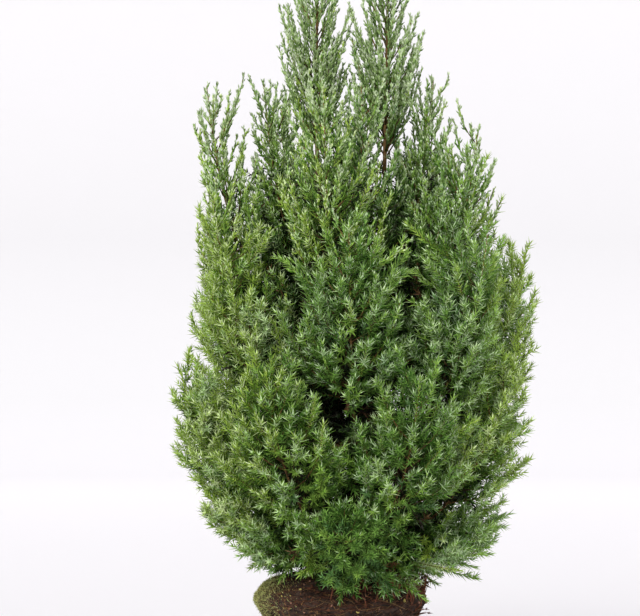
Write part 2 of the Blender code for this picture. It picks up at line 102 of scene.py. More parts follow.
def ball_outline(steps):
    """(radius, height) from the middle of the top to the middle of the base: a flat, a quarter of an
    ellipse, a neck, a straight side and a rounded corner, at equal distances along the line."""
    turn = np.linspace(0, math.pi / 2, ROUNDING_PLACES)
    bulge_r = BALL_FLAT_TOP_R + (BALL_BULGE_R - BALL_FLAT_TOP_R) * np.sin(turn)
    bulge_z = BALL_BULGE_Z + (BALL_TOP_Z - BALL_BULGE_Z) * np.cos(turn)
    corner_r = BALL_BASE_R - BALL_BASE_ROUNDING * (1 - np.cos(turn))
    corner_z = BALL_BASE_ROUNDING * (1 - np.sin(turn))
    radius = np.concatenate([[0], bulge_r, [BALL_NECK_R], corner_r, [0]])
    height = np.concatenate([[BALL_TOP_Z], bulge_z, [BALL_NECK_Z], corner_z, [0]])
    length = np.concatenate([[0], np.cumsum(np.hypot(np.diff(radius), np.diff(height)))])
    even = np.linspace(0, length[-1], steps)
    return np.interp(even, length, radius), np.interp(even, length, height)


def rumple(points, size, seed):
    """Unevenness of about -1 to 1 at each point: three times the mean of sine waves in random directions,
    each about as long as size or down to half of it."""
    rng = np.random.default_rng(seed)
    ways = unit(rng.normal(size=(WAVES, 3))) * (2 * math.pi / size * rng.uniform(0.8, 2, WAVES))[:, None]
    return np.sin(points @ ways.T + rng.uniform(0, 2 * math.pi, WAVES)).mean(axis=-1) * 3


def on_ball(share, turn, raised):
    """Places on the roughened ball, and the directions out of it: share of the way down its outline, turn
    in radians, raised off the skin. The skin lies inside the outline by BALL_ROUGHNESS times an unevenness
    of lumps and crumbs, less at the base."""
    radius, height = ball_outline(OUTLINE_PLACES)
    even = np.linspace(0, 1, OUTLINE_PLACES)
    r, z = np.interp(share, even, radius), np.interp(share, even, height)
    slope = np.stack([-np.gradient(height), np.gradient(radius)], 1)
    out_r, out_z = (np.interp(share, even, unit(slope)[:, axis]) for axis in (0, 1))
    skin = np.stack([r * np.cos(turn), r * np.sin(turn), z], -1)
    out = np.stack([out_r * np.cos(turn), out_r * np.sin(turn), out_z], -1)
    lumps = 0.5 + LUMP_SHARE * rumple(skin, LUMP, 1) + CRUMB_SHARE * rumple(skin, CRUMB, 2)
    sunk = BALL_ROUGHNESS * np.clip(lumps, 0, 1) * np.clip(z / ROUGH_FROM_Z, 0, 1)
    return skin + out * (raised - sunk)[..., None], out


def turned_faces(steps, sides):
    """Triangles of a turned surface whose rings of corners follow each other, closed by a corner at each
    end."""
    ring, side = np.meshgrid(np.arange(steps - 1), np.arange(sides), indexing="ij")
    here, beside = ring * sides + side, ring * sides + (side + 1) % sides
    around = np.stack([here, beside, beside + sides, here, beside + sides, here + sides], -1).reshape(-1, 3)
    edge, next_edge = np.arange(sides), (np.arange(sides) + 1) % sides
    last = (steps - 1) * sides
    foot = np.stack([np.full(sides, steps * sides), next_edge, edge], 1)
    tip = np.stack([np.full(sides, steps * sides + 1), last + edge, last + next_edge], 1)
    return np.concatenate([around, foot, tip])


def new_piece(name, corners, one, finishes, slots=0, smooth=False, uv=None):
    """A mesh object of N like things. corners is N x C x 3, one holds the triangles of one thing, and slots
    is the number of the finish of each thing, or of each of its triangles."""
    faces = (np.arange(len(corners))[:, None, None] * corners.shape[1] + one).reshape(-1, 3)
    slots = np.broadcast_to(slots, (len(corners), len(one)))
    mesh = bpy.data.meshes.new(name)
    mesh.vertices.add(corners.size // 3)
    mesh.vertices.foreach_set("co", corners.astype(np.float32).ravel())
    mesh.loops.add(faces.size)
    mesh.loops.foreach_set("vertex_index", faces.astype(np.int32).ravel())
    mesh.polygons.add(len(faces))
    mesh.polygons.foreach_set("loop_start", np.arange(0, faces.size, 3, dtype=np.int32))
    mesh.polygons.foreach_set("material_index", slots.astype(np.int32).ravel())
    mesh.update(calc_edges=True)
    if uv is not None:
        mesh.uv_layers.new(name="UVMap").data.foreach_set("uv", uv[faces].astype(np.float32).ravel())
    if smooth:
        mesh.shade_smooth()
    else:
        mesh.shade_flat()
    for finish in finishes:
        mesh.materials.append(finish)
    made = bpy.data.objects.new(name, mesh)
    bpy.context.scene.collection.objects.link(made)
    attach(made, "root")
    return made


def grained(name, tones, span, grain, detail, roughness, raised=0.0, strength=0.8, along=None):
    """A finish of two tones mixed by noise, the first below the span and the second above it. The same
    noise may be raised, in metres. It reads Object coordinates, or the skin's own map, stretched along the
    limb."""
    made = bpy.data.materials.new(name)
    made.use_nodes = True
    nodes, links = made.node_tree.nodes, made.node_tree.links
    shader = nodes["Principled BSDF"]
    shader.inputs["Roughness"].default_value = roughness
    noise = nodes.new("ShaderNodeTexNoise")
    noise.inputs["Scale"].default_value = grain
    noise.inputs["Detail"].default_value = detail
    ramp = nodes.new("ShaderNodeValToRGB")
    for stop, level, tone in zip(ramp.color_ramp.elements, span, tones):
        stop.position = level
        stop.color = (*tone, 1)
    place = nodes.new("ShaderNodeTexCoord").outputs["UV" if along else "Object"]
    if along:
        stretched = nodes.new("ShaderNodeMapping")
        stretched.inputs["Scale"].default_value = along
        links.new(place, stretched.inputs["Vector"])
        place = stretched.outputs["Vector"]
    links.new(place, noise.inputs["Vector"])
    links.new(noise.outputs["Fac"], ramp.inputs["Fac"])
    links.new(ramp.outputs["Color"], shader.inputs["Base Color"])
    if raised:
        bump = nodes.new("ShaderNodeBump")
        bump.inputs["Strength"].default_value = strength
        bump.inputs["Distance"].default_value = raised
        links.new(noise.outputs["Fac"], bump.inputs["Height"])
        links.new(bump.outputs["Normal"], shader.inputs["Normal"])
    return made


share, turn = np.meshgrid(np.linspace(0, 1, BALL_STEPS + 2)[1:-1], full_turn(BALL_SIDES), indexing="ij")
skin, _ = on_ball(share, -turn, np.zeros(share.shape))
ends, _ = on_ball(np.array([0.0, 1.0]), np.zeros(2), np.zeros(2))
corners = np.concatenate([skin.reshape(-1, 3), ends])[None]
mix = grained(
    "potting_mix", (MIX_DARK, MIX_LIGHT), span=(0.38, 0.66), grain=260, detail=8, roughness=0.95,
    raised=0.0008,
)
ball = new_piece("root_ball_skin", corners, turned_faces(BALL_STEPS, BALL_SIDES), [mix], smooth=True)
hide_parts("root_ball")

# Roots on the ball
# Fine roots that run round the ball where the pot turned them, and over the mound. Each is a thin closed
# tube that wanders over the skin, half sunk in it.
BALL_SEED, ROOTS, ROOT_PLACES, ROOT_SIDES = 21, 1500, 12, 3
ROOT_STARTS, ROOT_TURNS, ROOT_LIMITS = (0.06, 0.76), (0.15, 0.9), (0.04, 0.755)
ROOT_STEER, ROOT_WANDER, ROOT_TURN_WANDER = 0.030, 0.012, 0.05
ROOT_LOW, ROOT_HIGH = 0.0002, 0.0007
ROOT_R, ROOT_UNEVEN, ROOT_THINNING = 0.00042, (0.5, 1.7), 0.6
ROOT_WAVES_DOWN, ROOT_WAVES_ROUND = 7, 9
ROOT_TONE_SHARES = (0.5, 0.33, 0.17)
SPOT_GRAIN, SPOT_DETAIL, SPOT_SPAN, SPOT_TONES, SPOT_GLOSS = 240, 2, (0.36, 0.64), (0.70, 1.30), 0.33
GAMMA = 2.2


def turned(first, second, turn):
    """Directions turned from first towards second by an angle: cos(turn) first + sin(turn) second."""
    return np.cos(turn) * first + np.sin(turn) * second


def tubes(paths, radii, sides):
    """Corners of closed tubes round N paths of R places. A corner stands off its path by the radius there,
    square to the path, at equal turns. The last two corners of each tube close its ends on the path. radii
    is N x R, or N x R x sides for an uneven tube."""
    way = unit(np.gradient(paths, axis=1))
    is_level = np.abs(way[:, :, :1].mean(axis=1, keepdims=True)) > 0.7
    first = unit(np.cross(way, np.where(is_level, [0.0, 1.0, 0.0], [1.0, 0.0, 0.0])))
    second = np.cross(way, first)
    radii = radii if radii.ndim == 3 else radii[..., None]
    rings = turned(first[:, :, None], second[:, :, None], full_turn(sides)[:, None])
    rings = paths[:, :, None] + radii[..., None] * rings
    return np.concatenate([rings.reshape(len(paths), -1, 3), paths[:, [0, -1]]], axis=1)


def mottled(name, colour, roughness=0.6):
    """A finish of one colour, given as it shows in daylight from 0 to 255, a third lighter and darker in
    spots."""
    base = (np.array(colour) / 255) ** GAMMA
    tones = [tone * base for tone in SPOT_TONES]
    made = grained(name, tones, SPOT_SPAN, SPOT_GRAIN, SPOT_DETAIL, roughness)
    made.node_tree.nodes["Principled BSDF"].inputs["Specular IOR Level"].default_value = SPOT_GLOSS
    return made


rng = np.random.default_rng(BALL_SEED)
start = rng.uniform(*ROOT_STARTS, (ROOTS, 1))
along = np.linspace(0, 1, ROOT_PLACES)
steer = rng.normal(0, ROOT_STEER, (ROOTS, 1))
reach = rng.uniform(*ROOT_TURNS, (ROOTS, 1)) * rng.choice([-1, 1], (ROOTS, 1))
wave = rng.uniform(0, 2 * math.pi, (2, ROOTS, 1))
share = start + steer * along + ROOT_WANDER * np.sin(ROOT_WAVES_DOWN * along + wave[0])
turn = rng.uniform(0, 2 * math.pi, (ROOTS, 1)) + reach * along
turn = turn + ROOT_TURN_WANDER * np.sin(ROOT_WAVES_ROUND * along + wave[1])
lift = ROOT_LOW + ROOT_HIGH * rng.uniform(0, 1, (ROOTS, 1)) * np.sin(math.pi * along)
paths, _ = on_ball(np.clip(share, *ROOT_LIMITS), turn, np.broadcast_to(lift, share.shape))
radii = ROOT_R * rng.uniform(*ROOT_UNEVEN, (ROOTS, 1)) * (1 - ROOT_THINNING * along)
root_finishes = [
    mottled("root_red_brown", (84, 52, 37), 0.85),
    mottled("root_dark", (44, 30, 22), 0.9),
    mottled("root_tan", (112, 88, 60), 0.85),
]
slots = rng.choice(len(root_finishes), (ROOTS, 1), p=ROOT_TONE_SHARES)
corners, one = tubes(paths, radii, ROOT_SIDES), turned_faces(ROOT_PLACES, ROOT_SIDES)
roots = new_piece("roots", corners, one, root_finishes, slots, smooth=True)

# Bark chips and crumbs on the mound
# Broken pieces of pine bark, a few pale or yellowish, and clods of mix that lie loose on top and at the
# shoulder. Each is a flat uneven block of six corners a side, bedded into the skin.
CHIPS, CHIP_SIDES = 900, 6
CHIP_SIZES, CHIP_THICKNESS, CHIP_NARROWING, CHIP_TILT = (0.002, 0.0075), (0.12, 0.30), 0.6, 0.45
CHIPS_REACH, CHIPS_TO, CHIP_RAISED, CHIP_CROWDING = 0.52, 0.5, 0.0004, (1.3, 1.8)
CHIP_UNEVEN, CHIP_TOP_SHARE, CHIP_TONE_SHARES = (0.55, 1), 0.85, (0.48, 0.36, 0.11, 0.05)


def chips(place, out, size, rng):
    """Corners of flat blocks: two uneven rings round each place, a little apart along a tilted out
    direction."""
    count = len(place)
    up = unit(out + rng.normal(0, CHIP_TILT, (count, 3)))
    first = unit(np.cross(up, rng.normal(size=(count, 3))))
    second = np.cross(up, first)
    turn = full_turn(CHIP_SIDES)
    width = size[:, None] * rng.uniform(*CHIP_UNEVEN, (count, CHIP_SIDES)) / 2
    ring = (np.cos(turn) * width)[..., None] * first[:, None]
    ring += CHIP_NARROWING * (np.sin(turn) * width)[..., None] * second[:, None]
    thick = (size * rng.uniform(*CHIP_THICKNESS, count))[:, None, None] * up[:, None]
    middle = place[:, None]
    ends = np.concatenate([middle - thick, middle + thick], axis=1)
    return np.concatenate([middle + ring - thick, middle + CHIP_TOP_SHARE * ring + thick, ends], axis=1)


share = np.clip(rng.beta(*CHIP_CROWDING, CHIPS) * CHIPS_REACH, 0.0, CHIPS_TO)
turn = rng.uniform(0, 2 * math.pi, CHIPS)
place, out = on_ball(share, turn, np.full(CHIPS, CHIP_RAISED))
corners = chips(place, out, rng.uniform(*CHIP_SIZES, CHIPS) * rng.uniform(0.5, 1, CHIPS), rng)
chip_finishes = [
    mottled("bark_chip_dark", (54, 35, 27), 0.9),
    mottled("bark_chip_brown", (98, 62, 44), 0.9),
    mottled("bark_chip_pale", (160, 118, 98), 0.9),
    mottled("chip_yellowish", (172, 156, 88), 0.9),
]
slots = rng.choice(len(chip_finishes), (CHIPS, 1), p=CHIP_TONE_SHARES)
chip_piece = new_piece("bark_chips", corners, turned_faces(2, CHIP_SIDES), chip_finishes, slots)

# Moss and fallen needles on the ball
# Moss grows on the left shoulder of the mound, and dry needles lie all over it. Both are open three-sided
# awls.
MOSS, MOSS_TURN, MOSS_SPREAD = 9000, math.pi, 0.62
MOSS_LENGTHS, MOSS_WIDTHS = (0.0015, 0.0048), (0.0004, 0.0009)
MOSS_FROM, MOSS_REACH, MOSS_SUNK, MOSS_SCATTER, MOSS_UP = 0.20, 0.24, 0.0006, 0.55, 0.35
LITTER, LITTER_LENGTHS, LITTER_WIDTH = 2600, (0.004, 0.009), 0.0008
LITTER_FROM, LITTER_REACH, LITTER_RAISED, LITTER_FLAT = 0.03, 0.48, 0.0005, 0.9
AWL_FACES = np.array([(0, 1, 3), (1, 2, 3), (2, 0, 3)])
OFF_AXIS = np.array([0.01, 0.02, 0.03])


def blade(foot, tip, width, facing):
    """Half the width of each needle, and directions across it (way x facing) and under it (way x side)."""
    way = unit(tip - foot)
    side = unit(np.cross(way, facing))
    return np.broadcast_to(width, foot.shape[:1])[:, None] / 2, side, np.cross(way, side)


def awls(foot, tip, width, facing):
    """Corners of awl-shaped needles: three round the foot, the width apart, and the tip they run together
    at. The first face of each looks along facing, and the other two meet in a keel under it."""
    half, side, keel = blade(foot, tip, width, facing)
    return np.stack([foot - half * side, foot + half * side, foot + 1.1 * half * keel, tip], axis=1)


share = MOSS_FROM + MOSS_REACH * rng.beta(2, 2, MOSS)
turn = MOSS_TURN + MOSS_SPREAD * rng.normal(0, MOSS_SCATTER, MOSS)
foot, out = on_ball(share, turn, np.full(MOSS, -MOSS_SUNK))
lean = unit(out + rng.normal(0, MOSS_SCATTER, (MOSS, 3)) + [0, 0, MOSS_UP])
tip = foot + lean * rng.uniform(*MOSS_LENGTHS, (MOSS, 1))
corners = awls(foot, tip, rng.uniform(*MOSS_WIDTHS, MOSS), out + OFF_AXIS)
moss_finishes = [mottled("moss_green", (192, 196, 124), 0.8), mottled("moss_olive", (140, 138, 84), 0.9)]
moss = new_piece("moss", corners, AWL_FACES, moss_finishes, rng.choice(2, (MOSS, 1), p=(0.6, 0.4)))

share = LITTER_FROM + LITTER_REACH * rng.beta(1.4, 1.4, LITTER)
foot, out = on_ball(share, rng.uniform(0, 2 * math.pi, LITTER), np.full(LITTER, LITTER_RAISED))
lean = rng.normal(size=(LITTER, 3))
lean = unit(lean - (lean * out).sum(1, keepdims=True) * out * LITTER_FLAT)
corners = awls(foot, foot + lean * rng.uniform(*LITTER_LENGTHS, (LITTER, 1)), LITTER_WIDTH, out)
litter_finishes = [
    mottled("dry_needle_tan", (124, 90, 56), 0.8),
    mottled("dry_needle_brown", (80, 54, 36), 0.8),
]
litter = new_piece("fallen_needles", corners, AWL_FACES, litter_finishes, rng.choice(2, (LITTER, 1)))

# Trunk and second stem
# Two upright stems with red-brown bark that peels in long thin strips. The trunk flares where it meets the
# ball, and the second stem forks from its foot. Both are round tubes with the strips raised along them.
CLEAR = 0.0003
TRUNK_FOOT, TRUNK_TIP, TRUNK_BOW = (-0.028, 0.004), (-0.024, 0.006, 0.600), 0.004
TRUNK_R, TRUNK_TIP_R = 0.0062, 0.0024
FLARE_R, FLARE_HEIGHT = 0.0105, 0.020
SECOND_FORK_Z, SECOND_HIGHER = 0.179, 0.016
SECOND_BEND, SECOND_TIP = (0.046, -0.012, 0.225), (0.047, -0.008, 0.590)
SECOND_R, SECOND_TIP_R = 0.0048, 0.0022
STEM_POINTS, STEM_BARK_SEED = 10, 31
STRIP_SHARE, STRIP_LENGTH, FLAKE_LENGTH, MAP_LENGTH = 0.16, 0.030, 0.010, 0.1
STRIP_SIZE, FLAKE_SIZE, STRIPS, FLAKES, BARK_SUNK = 1.1, 0.7, 0.7, 0.3, 0.25
BARK_DARK, BARK_LIGHT = (0.030, 0.016, 0.012), (0.170, 0.090, 0.060)


def mixed(first, second, share):
    """A value that goes evenly from first to second as share goes from 0 to 1."""
    return first + share * (second - first)


def bezier(bend, share):
    """Places on a three-point curve: (1-s)^2 start + 2s(1-s) middle + s^2 end, for curves and shares
    alike."""
    start, middle, end = (np.asarray(point, float) for point in bend)
    share = np.asarray(share, float)[..., None]
    return (1 - share) ** 2 * start + 2 * share * (1 - share) * middle + share**2 * end


def heading(bend, share):
    """Unit direction of a three-point curve: (1-s)(middle-start) + s(end-middle)."""
    start, middle, end = (np.asarray(point, float) for point in bend)
    share = np.asarray(share, float)[..., None]
    return unit((1 - share) * (middle - start) + share * (end - middle))


def on_path(place, marks, path):
    """Points of a path at the given places, where marks are the places of the path's own points."""
    return np.stack([np.interp(place, marks, path[:, axis]) for axis in range(3)], -1)


def trunk_limb():
    """Path and radii of the trunk: a line from foot to tip plus half a sine wave aside, and a flare at its
    foot."""
    foot = np.array([*TRUNK_FOOT, BALL_TOP_Z + CLEAR])
    share = np.linspace(0, 1, STEM_POINTS) ** 1.25
    path = foot + share[:, None] * (np.array(TRUNK_TIP) - foot)
    path[:, 0] += TRUNK_BOW * np.sin(math.pi * share)
    path[1, :2] = foot[:2]
    radii = mixed(TRUNK_R, TRUNK_TIP_R, share)
    radii += (FLARE_R - TRUNK_R) * np.clip(1 - (path[:, 2] - foot[2]) / FLARE_HEIGHT, 0, 1) ** 1.5
    return path, radii


def second_limb(trunk_path):
    """Path and radii of the second stem: a three-point curve from inside the trunk."""
    fork = (*on_path(SECOND_FORK_Z, trunk_path[:, 2], trunk_path)[:2], SECOND_FORK_Z)
    path = bezier((fork, SECOND_BEND, SECOND_TIP), np.linspace(0, 1, STEM_POINTS))
    return path, np.linspace(SECOND_R, SECOND_TIP_R, STEM_POINTS)


def bark_tube(limb, places, sides, seed):
    """A limb's skin: its path at equal lengths, eased round the corners, and its radius times 1 +
    STRIP_SHARE of an unevenness that runs far along the limb and little round it. Gives the corners and the
    skin's own map."""
    path, radii = limb
    length = np.concatenate([[0], np.cumsum(np.linalg.norm(np.diff(path, axis=0), axis=1))])
    even = np.linspace(0, length[-1], places)
    line = on_path(even, length, path)
    for _ in range(places // 10):
        line[1:-1] = (line[:-2] + 2 * line[1:-1] + line[2:]) / 4
    thick = np.interp(even, length, radii)
    around, on = np.meshgrid(full_turn(sides), even, indexing="xy")
    strips = rumple(np.stack([np.cos(around), np.sin(around), on / STRIP_LENGTH], -1), STRIP_SIZE, seed)
    flakes = rumple(np.stack([np.cos(around), np.sin(around), on / FLAKE_LENGTH], -1), FLAKE_SIZE, seed + 1)
    uneven = thick[:, None] * (1 + STRIP_SHARE * (STRIPS * strips + FLAKES * flakes - BARK_SUNK))
    uv = np.stack([around / (2 * math.pi), on / MAP_LENGTH], -1).reshape(-1, 2)
    uv = np.concatenate([uv, [[0.5, 0], [0.5, even[-1] / MAP_LENGTH]]])
    return tubes(line[None], uneven[None], sides), uv


trunk = trunk_limb()
second = second_limb(trunk[0])
stems = (trunk, second)
bark = grained(
    "juniper_bark", (BARK_DARK, BARK_LIGHT), span=(0.35, 0.68), grain=1.6, detail=9, roughness=0.85,
    raised=0.0006, strength=0.7, along=(14, 3, 1),
)
for name, node, limb, places, sides in (
    ("trunk_bark", "trunk", trunk, 170, 36),
    ("second_stem_bark", "second_stem", second, 150, 28),
):
    corners, uv = bark_tube(limb, places, sides, STEM_BARK_SEED)
    stem = new_piece(name, corners, turned_faces(places, sides), [bark], smooth=True, uv=uv)
    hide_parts(node)

# Plan of the crown and its boughs
# The boughs leave the stems in tiers and sweep out and up to where a plume of foliage starts. The tiers,
# and the draws that shift each plume a little, are those of the solids, so that every plume grows in its
# solid's place.
SEED = 5
BOUGH_ROOT_R, BOUGH_TIP_R, BOUGH_POINTS = 0.0026, 0.0015, 5
BOUGH_STRAIGHT, BOUGH_STEP_Z, BOUGH_EASE = 0.005, 0.0058, 0.45
BOUGH_PLACES, BOUGH_SIDES, BOUGH_BARK_SEED = 30, 14, 40
Tier = collections.namedtuple(
    "Tier", "name inner count first_deg root_z foot_r foot_z tip_r tip_z half_width shift lean"
)
TIERS = (
    Tier("skirt", False, 5, 338, 0.177, 0.056, 0.190, 0.152, 0.206, 0.058, 0.014, 0.024),
    Tier("low", False, 7, 238, 0.210, 0.084, 0.222, 0.184, 0.395, 0.068, 0.012, 0.000),
    Tier("middle", False, 7, 262, 0.266, 0.086, 0.326, 0.176, 0.545, 0.072, 0.022, 0.016),
    Tier("upper", False, 5, 262, 0.356, 0.078, 0.428, 0.150, 0.672, 0.070, 0.010, 0.026),
    Tier("heart", True, 3, 225, 0.318, 0.0, 0.0, 0.060, 0.500, 0.060, 0.010, 0.000),
    Tier("inner", True, 4, 272, 0.430, 0.0, 0.0, 0.090, 0.690, 0.056, 0.012, 0.000),
)
INNER_TURNS_DEG = (0, 12, -12, 24, -24, 36, -36)
DEPTH_SHARE = 0.95
AZIMUTH_JITTER_DEG, HEIGHT_JITTER, RADIUS_JITTER = 5, 0.012, 0.005
PLUME_RISE, PLUME_OUT = 0.32, 0.78
LIMB_MARGIN, STEM_MARGIN = 0.0012, 0.005
LEADERS = (
    ("leader_left", (-0.022, 0.004, 0.850), 0.046),
    ("leader_right", (0.052, -0.010, 0.838), 0.046),
)
TWIG_ANGLES_DEG, LEADER_TWIG_ANGLES_DEG = (60, 20), (46, 24)
Plume = collections.namedtuple("Plume", "name tier bend half_width side bough parent stem_r angles")
UP = np.array([0, 0, 1.0])


def gap_to_path(points, path, radii):
    """Distance of each point to a tapered limb that follows path, less the limb's radius there."""
    start, way = path[:-1], path[1:] - path[:-1]
    offset = points[:, None] - start
    share = np.clip((offset * way).sum(2) / (way * way).sum(1), 0, 1)
    distance = np.linalg.norm(offset - share[..., None] * way, axis=2)
    return (distance - radii[:-1] - share * (radii[1:] - radii[:-1])).min(axis=1)


def across_of(way, side):
    """Two unit directions square to way, the first as near to side as it can be."""
    first = unit(side - (side * way).sum(-1, keepdims=True) * way)
    return first, np.cross(way, first)


def foot_on_stem(tip, root_z):
    """(foot, parent) of an inner plume: its stem's flat end stands just clear of the nearer of the two
    stems."""
    roots = [on_path(root_z, path[:, 2], path) for path, _ in stems]
    parent = int(np.argmin([np.hypot(*(tip - root)[:2]) for root in roots]))
    way = unit((tip - roots[parent]) * [PLUME_OUT, PLUME_OUT, PLUME_RISE])
    rim = BOUGH_TIP_R * turned(*across_of(way, UP), np.linspace(0, 2 * math.pi, 12)[:, None])
    away = BOUGH_TIP_R
    while gap_to_path(roots[parent] + way * away + rim, *stems[parent]).min() < CLEAR:
        away += CLEAR / 10
    return roots[parent] + way * away, parent


def bough_limb(foot, bend, root_z):
    """((path, radii), parent) of the bough that leaves a stem at root_z and ends just short of a plume's
    foot. It comes from the nearer stem, unless it would run into the other one on its way."""
    into = unit(bend - foot)
    end = foot - into * CLEAR
    choices = []
    for parent, (stem, _) in enumerate(stems):
        root = on_path(root_z + parent * SECOND_HIGHER, stem[:, 2], stem)
        middle = end - into * BOUGH_EASE * np.linalg.norm(end - root)
        path = bezier((root, middle, end), np.linspace(0, 1, BOUGH_POINTS))
        path[-2] = end - into * BOUGH_STRAIGHT
        on_the_way = bezier((root, middle, end), np.linspace(0.08, 1, 24))
        free = gap_to_path(on_the_way, *stems[1 - parent]).min() > BOUGH_ROOT_R + LIMB_MARGIN
        choices.append((not free, np.linalg.norm(foot - root), parent, path))
    *_, parent, path = min(choices, key=lambda choice: choice[:2])
    return (path, np.linspace(BOUGH_ROOT_R, BOUGH_TIP_R, BOUGH_POINTS)), parent


def plume_plan(tier, number, chance, turn_deg):
    """One plume of a tier; chance holds three numbers from -1 to 1 for its azimuth, height and reach."""
    azimuth = tier.first_deg + number * 360 / tier.count + chance[0] * AZIMUTH_JITTER_DEG + turn_deg
    azimuth = math.radians(azimuth)
    out = np.array([math.cos(azimuth), math.sin(azimuth) * DEPTH_SHARE, 0])
    middle = np.array([tier.shift, 0, 0])
    tip_z = tier.tip_z + chance[1] * HEIGHT_JITTER - tier.lean * out[0]
    tip = middle + out * (tier.tip_r + chance[2] * RADIUS_JITTER) + [0, 0, tip_z]
    foot = middle + out * tier.foot_r + [0, 0, tier.foot_z]
    root_z = tier.root_z + BOUGH_STEP_Z * (number * 2 % (tier.count | 1))
    if tier.inner:
        foot, parent = foot_on_stem(tip, root_z)
    bend = foot + (tip - foot) * [PLUME_OUT, PLUME_OUT, PLUME_RISE]
    bough = None
    if not tier.inner:
        bough, parent = bough_limb(foot, bend, root_z)
    side = np.array([-math.sin(azimuth), math.cos(azimuth), 0])
    name = f"{tier.name}_{number + 1}"
    stem = (foot, bend, tip)
    return Plume(name, tier.name, stem, tier.half_width, side, bough, parent, BOUGH_TIP_R, TWIG_ANGLES_DEG)


def crown_plans():
    """Every plume of the tiers, then the two leaders that carry on from the stems' tips."""
    rng = np.random.default_rng(SEED)
    plans, limbs = [], list(stems)
    for tier in TIERS:
        for number in range(tier.count):
            chance = rng.uniform(-1, 1, 3)
            for turn_deg in INNER_TURNS_DEG:
                plan = plume_plan(tier, number, chance, turn_deg)
                points = bezier(plan.bend, np.linspace(0.1, 1, 20))
                if plan.bough or min(gap_to_path(points, *limb).min() for limb in limbs) > STEM_MARGIN:
                    break
            if plan.bough:
                limbs.append(plan.bough)
            plans.append(plan)
    side = np.array([1.0, 0, 0])
    for parent, (name, tip, half_width) in enumerate(LEADERS):
        path, radii = stems[parent]
        way = unit(path[-1] - path[-2])
        foot = path[-1] + way * CLEAR
        stem = (foot, foot + way * 0.5 * np.linalg.norm(np.array(tip) - foot), np.array(tip))
        plans.append(
            Plume(name, "leader", stem, half_width, side, None, parent, radii[-1], LEADER_TWIG_ANGLES_DEG)
        )
    return plans, limbs


plans, limbs = crown_plans()
skins = [
    bark_tube(limb, BOUGH_PLACES, BOUGH_SIDES, BOUGH_BARK_SEED + number)
    for number, limb in enumerate(limbs[len(stems):])
]
boughs = new_piece(
    "boughs_bark",
    np.concatenate([corners for corners, _ in skins]),
    turned_faces(BOUGH_PLACES, BOUGH_SIDES),
    [bark],
    smooth=True,
    uv=np.concatenate([uv for _, uv in skins]),
)
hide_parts(*[f"bough_{plan.name}" for plan in plans if plan.bough])

# Plume stems and twigs
# A plume is one stem with twigs round it at the golden angle, made shorter or left out where they would
# leave its room. Low twigs hang over the ball, thin ones straggle out on its right, and others stand on the
# stems and fill the gaps between plumes. Young bark is orange-brown.
TWIGS = {"skirt": 44, "low": 44, "middle": 44, "upper": 62, "heart": 56, "inner": 58, "leader": 74}
OUTER_TIERS, SLENDER_TIERS = ("skirt", "low", "middle"), ("upper", "inner", "leader")
GOLDEN_DEG, TWIG_TURN_JITTER_DEG, TWIG_ANGLE_JITTER_DEG = 137.508, 14, 5
FIRST_TWIG, LAST_TWIG = 0.05, 0.90
TWIG_UP, TWIG_UP_HIGH = (0.10, 0.30), (0.26, 1.0)
TWIG_HIGH_FROM_Z, TWIG_HIGH_TO_Z = 0.24, 0.42
TWIG_LONGEST, TWIG_SHORTENING, TWIG_JITTER, SLENDER_TWIG_JITTER = 1.75, 1.25, 0.16, 0.34
LEADER_TWIG_LONGER, FLATNESS = 1.22, 0.86
SHORTER, SAMPLES = (0.4, 0.5, 0.6, 0.7, 0.8, 0.9, 1.0), (0.3, 0.5, 0.7, 0.85, 1.0)
ROOM_MARGIN, INNER_ROOM_MARGIN, BALL_MARGIN, BALL_SIDE_MARGIN = -0.013, -0.035, 0.004, 0.002
EVEN_EDGE, UNEVEN_EDGE, EDGE_SEED = 0.010, (-0.004, 0.020), 300
CROWN_HEIGHTS = (0.130, 0.160, 0.200, 0.240, 0.290, 0.400, 0.500, 0.600, 0.680, 0.715, 0.850)
CROWN_LEFT = (0.080, 0.094, 0.124, 0.155, 0.190, 0.170, 0.163, 0.162, 0.150, 0.076, 0.062)
CROWN_RIGHT = (0.104, 0.118, 0.164, 0.192, 0.202, 0.218, 0.200, 0.170, 0.122, 0.104, 0.078)
CROWN_DEEP = (0.122, 0.134, 0.152, 0.168, 0.182, 0.186, 0.178, 0.168, 0.142, 0.084, 0.066)
TWIG_R, TWIG_TIP_R, TWIG_PLACES, TWIG_SIDES = 0.00085, 0.00035, 5, 3
FOLIAGE_SEED, TWIG_TONE_SHARES = 77, (0.4, 0.25, 0.35)
FULL_TWIG_LENGTH, THINNEST_TWIG, THICKEST_TWIG = 0.07, 0.6, 1.2
SPIRE_R_SHARE, SPIRE_TO, STEM_PLACES, STEM_SIDES, PLUME_LINE_PLACES = 0.3, 0.96, 16, 7, 9
SPRAY_SEED, SPRAY_SAMPLES = 100, (0.3, 0.5, 0.7, 1.0)
LOW_SPRAYS, LOW_SPRAY_LENGTHS, LOW_SPRAY_Z = {"skirt": 32, "low": 10, "middle": 12}, (0.040, 0.090), 0.146
LOW_SPRAY_REACH, LOW_SPRAY_SPREAD, LOW_SPRAY_SAG = (0.15, 1.0), 0.75, (-1.0, 0.1)
STRAGGLERS, STRAGGLER_LENGTHS, STRAGGLER_Z, STRAGGLER_X = 13, (0.090, 0.160), 0.131, (0.070, 0.148)
STRAGGLER_EDGE, STRAGGLER_REACH, STRAGGLER_SPREAD = -0.042, (0.2, 0.9), 0.5
STRAGGLER_SAG, STRAGGLER_TIP_UP = (-0.60, 0.10), (-0.1, 0.45)
STEM_SPRAYS, STEM_SPRAY_REACH = 30, {"leader": (0.72, 1.0), "heart": (0.12, 0.60)}
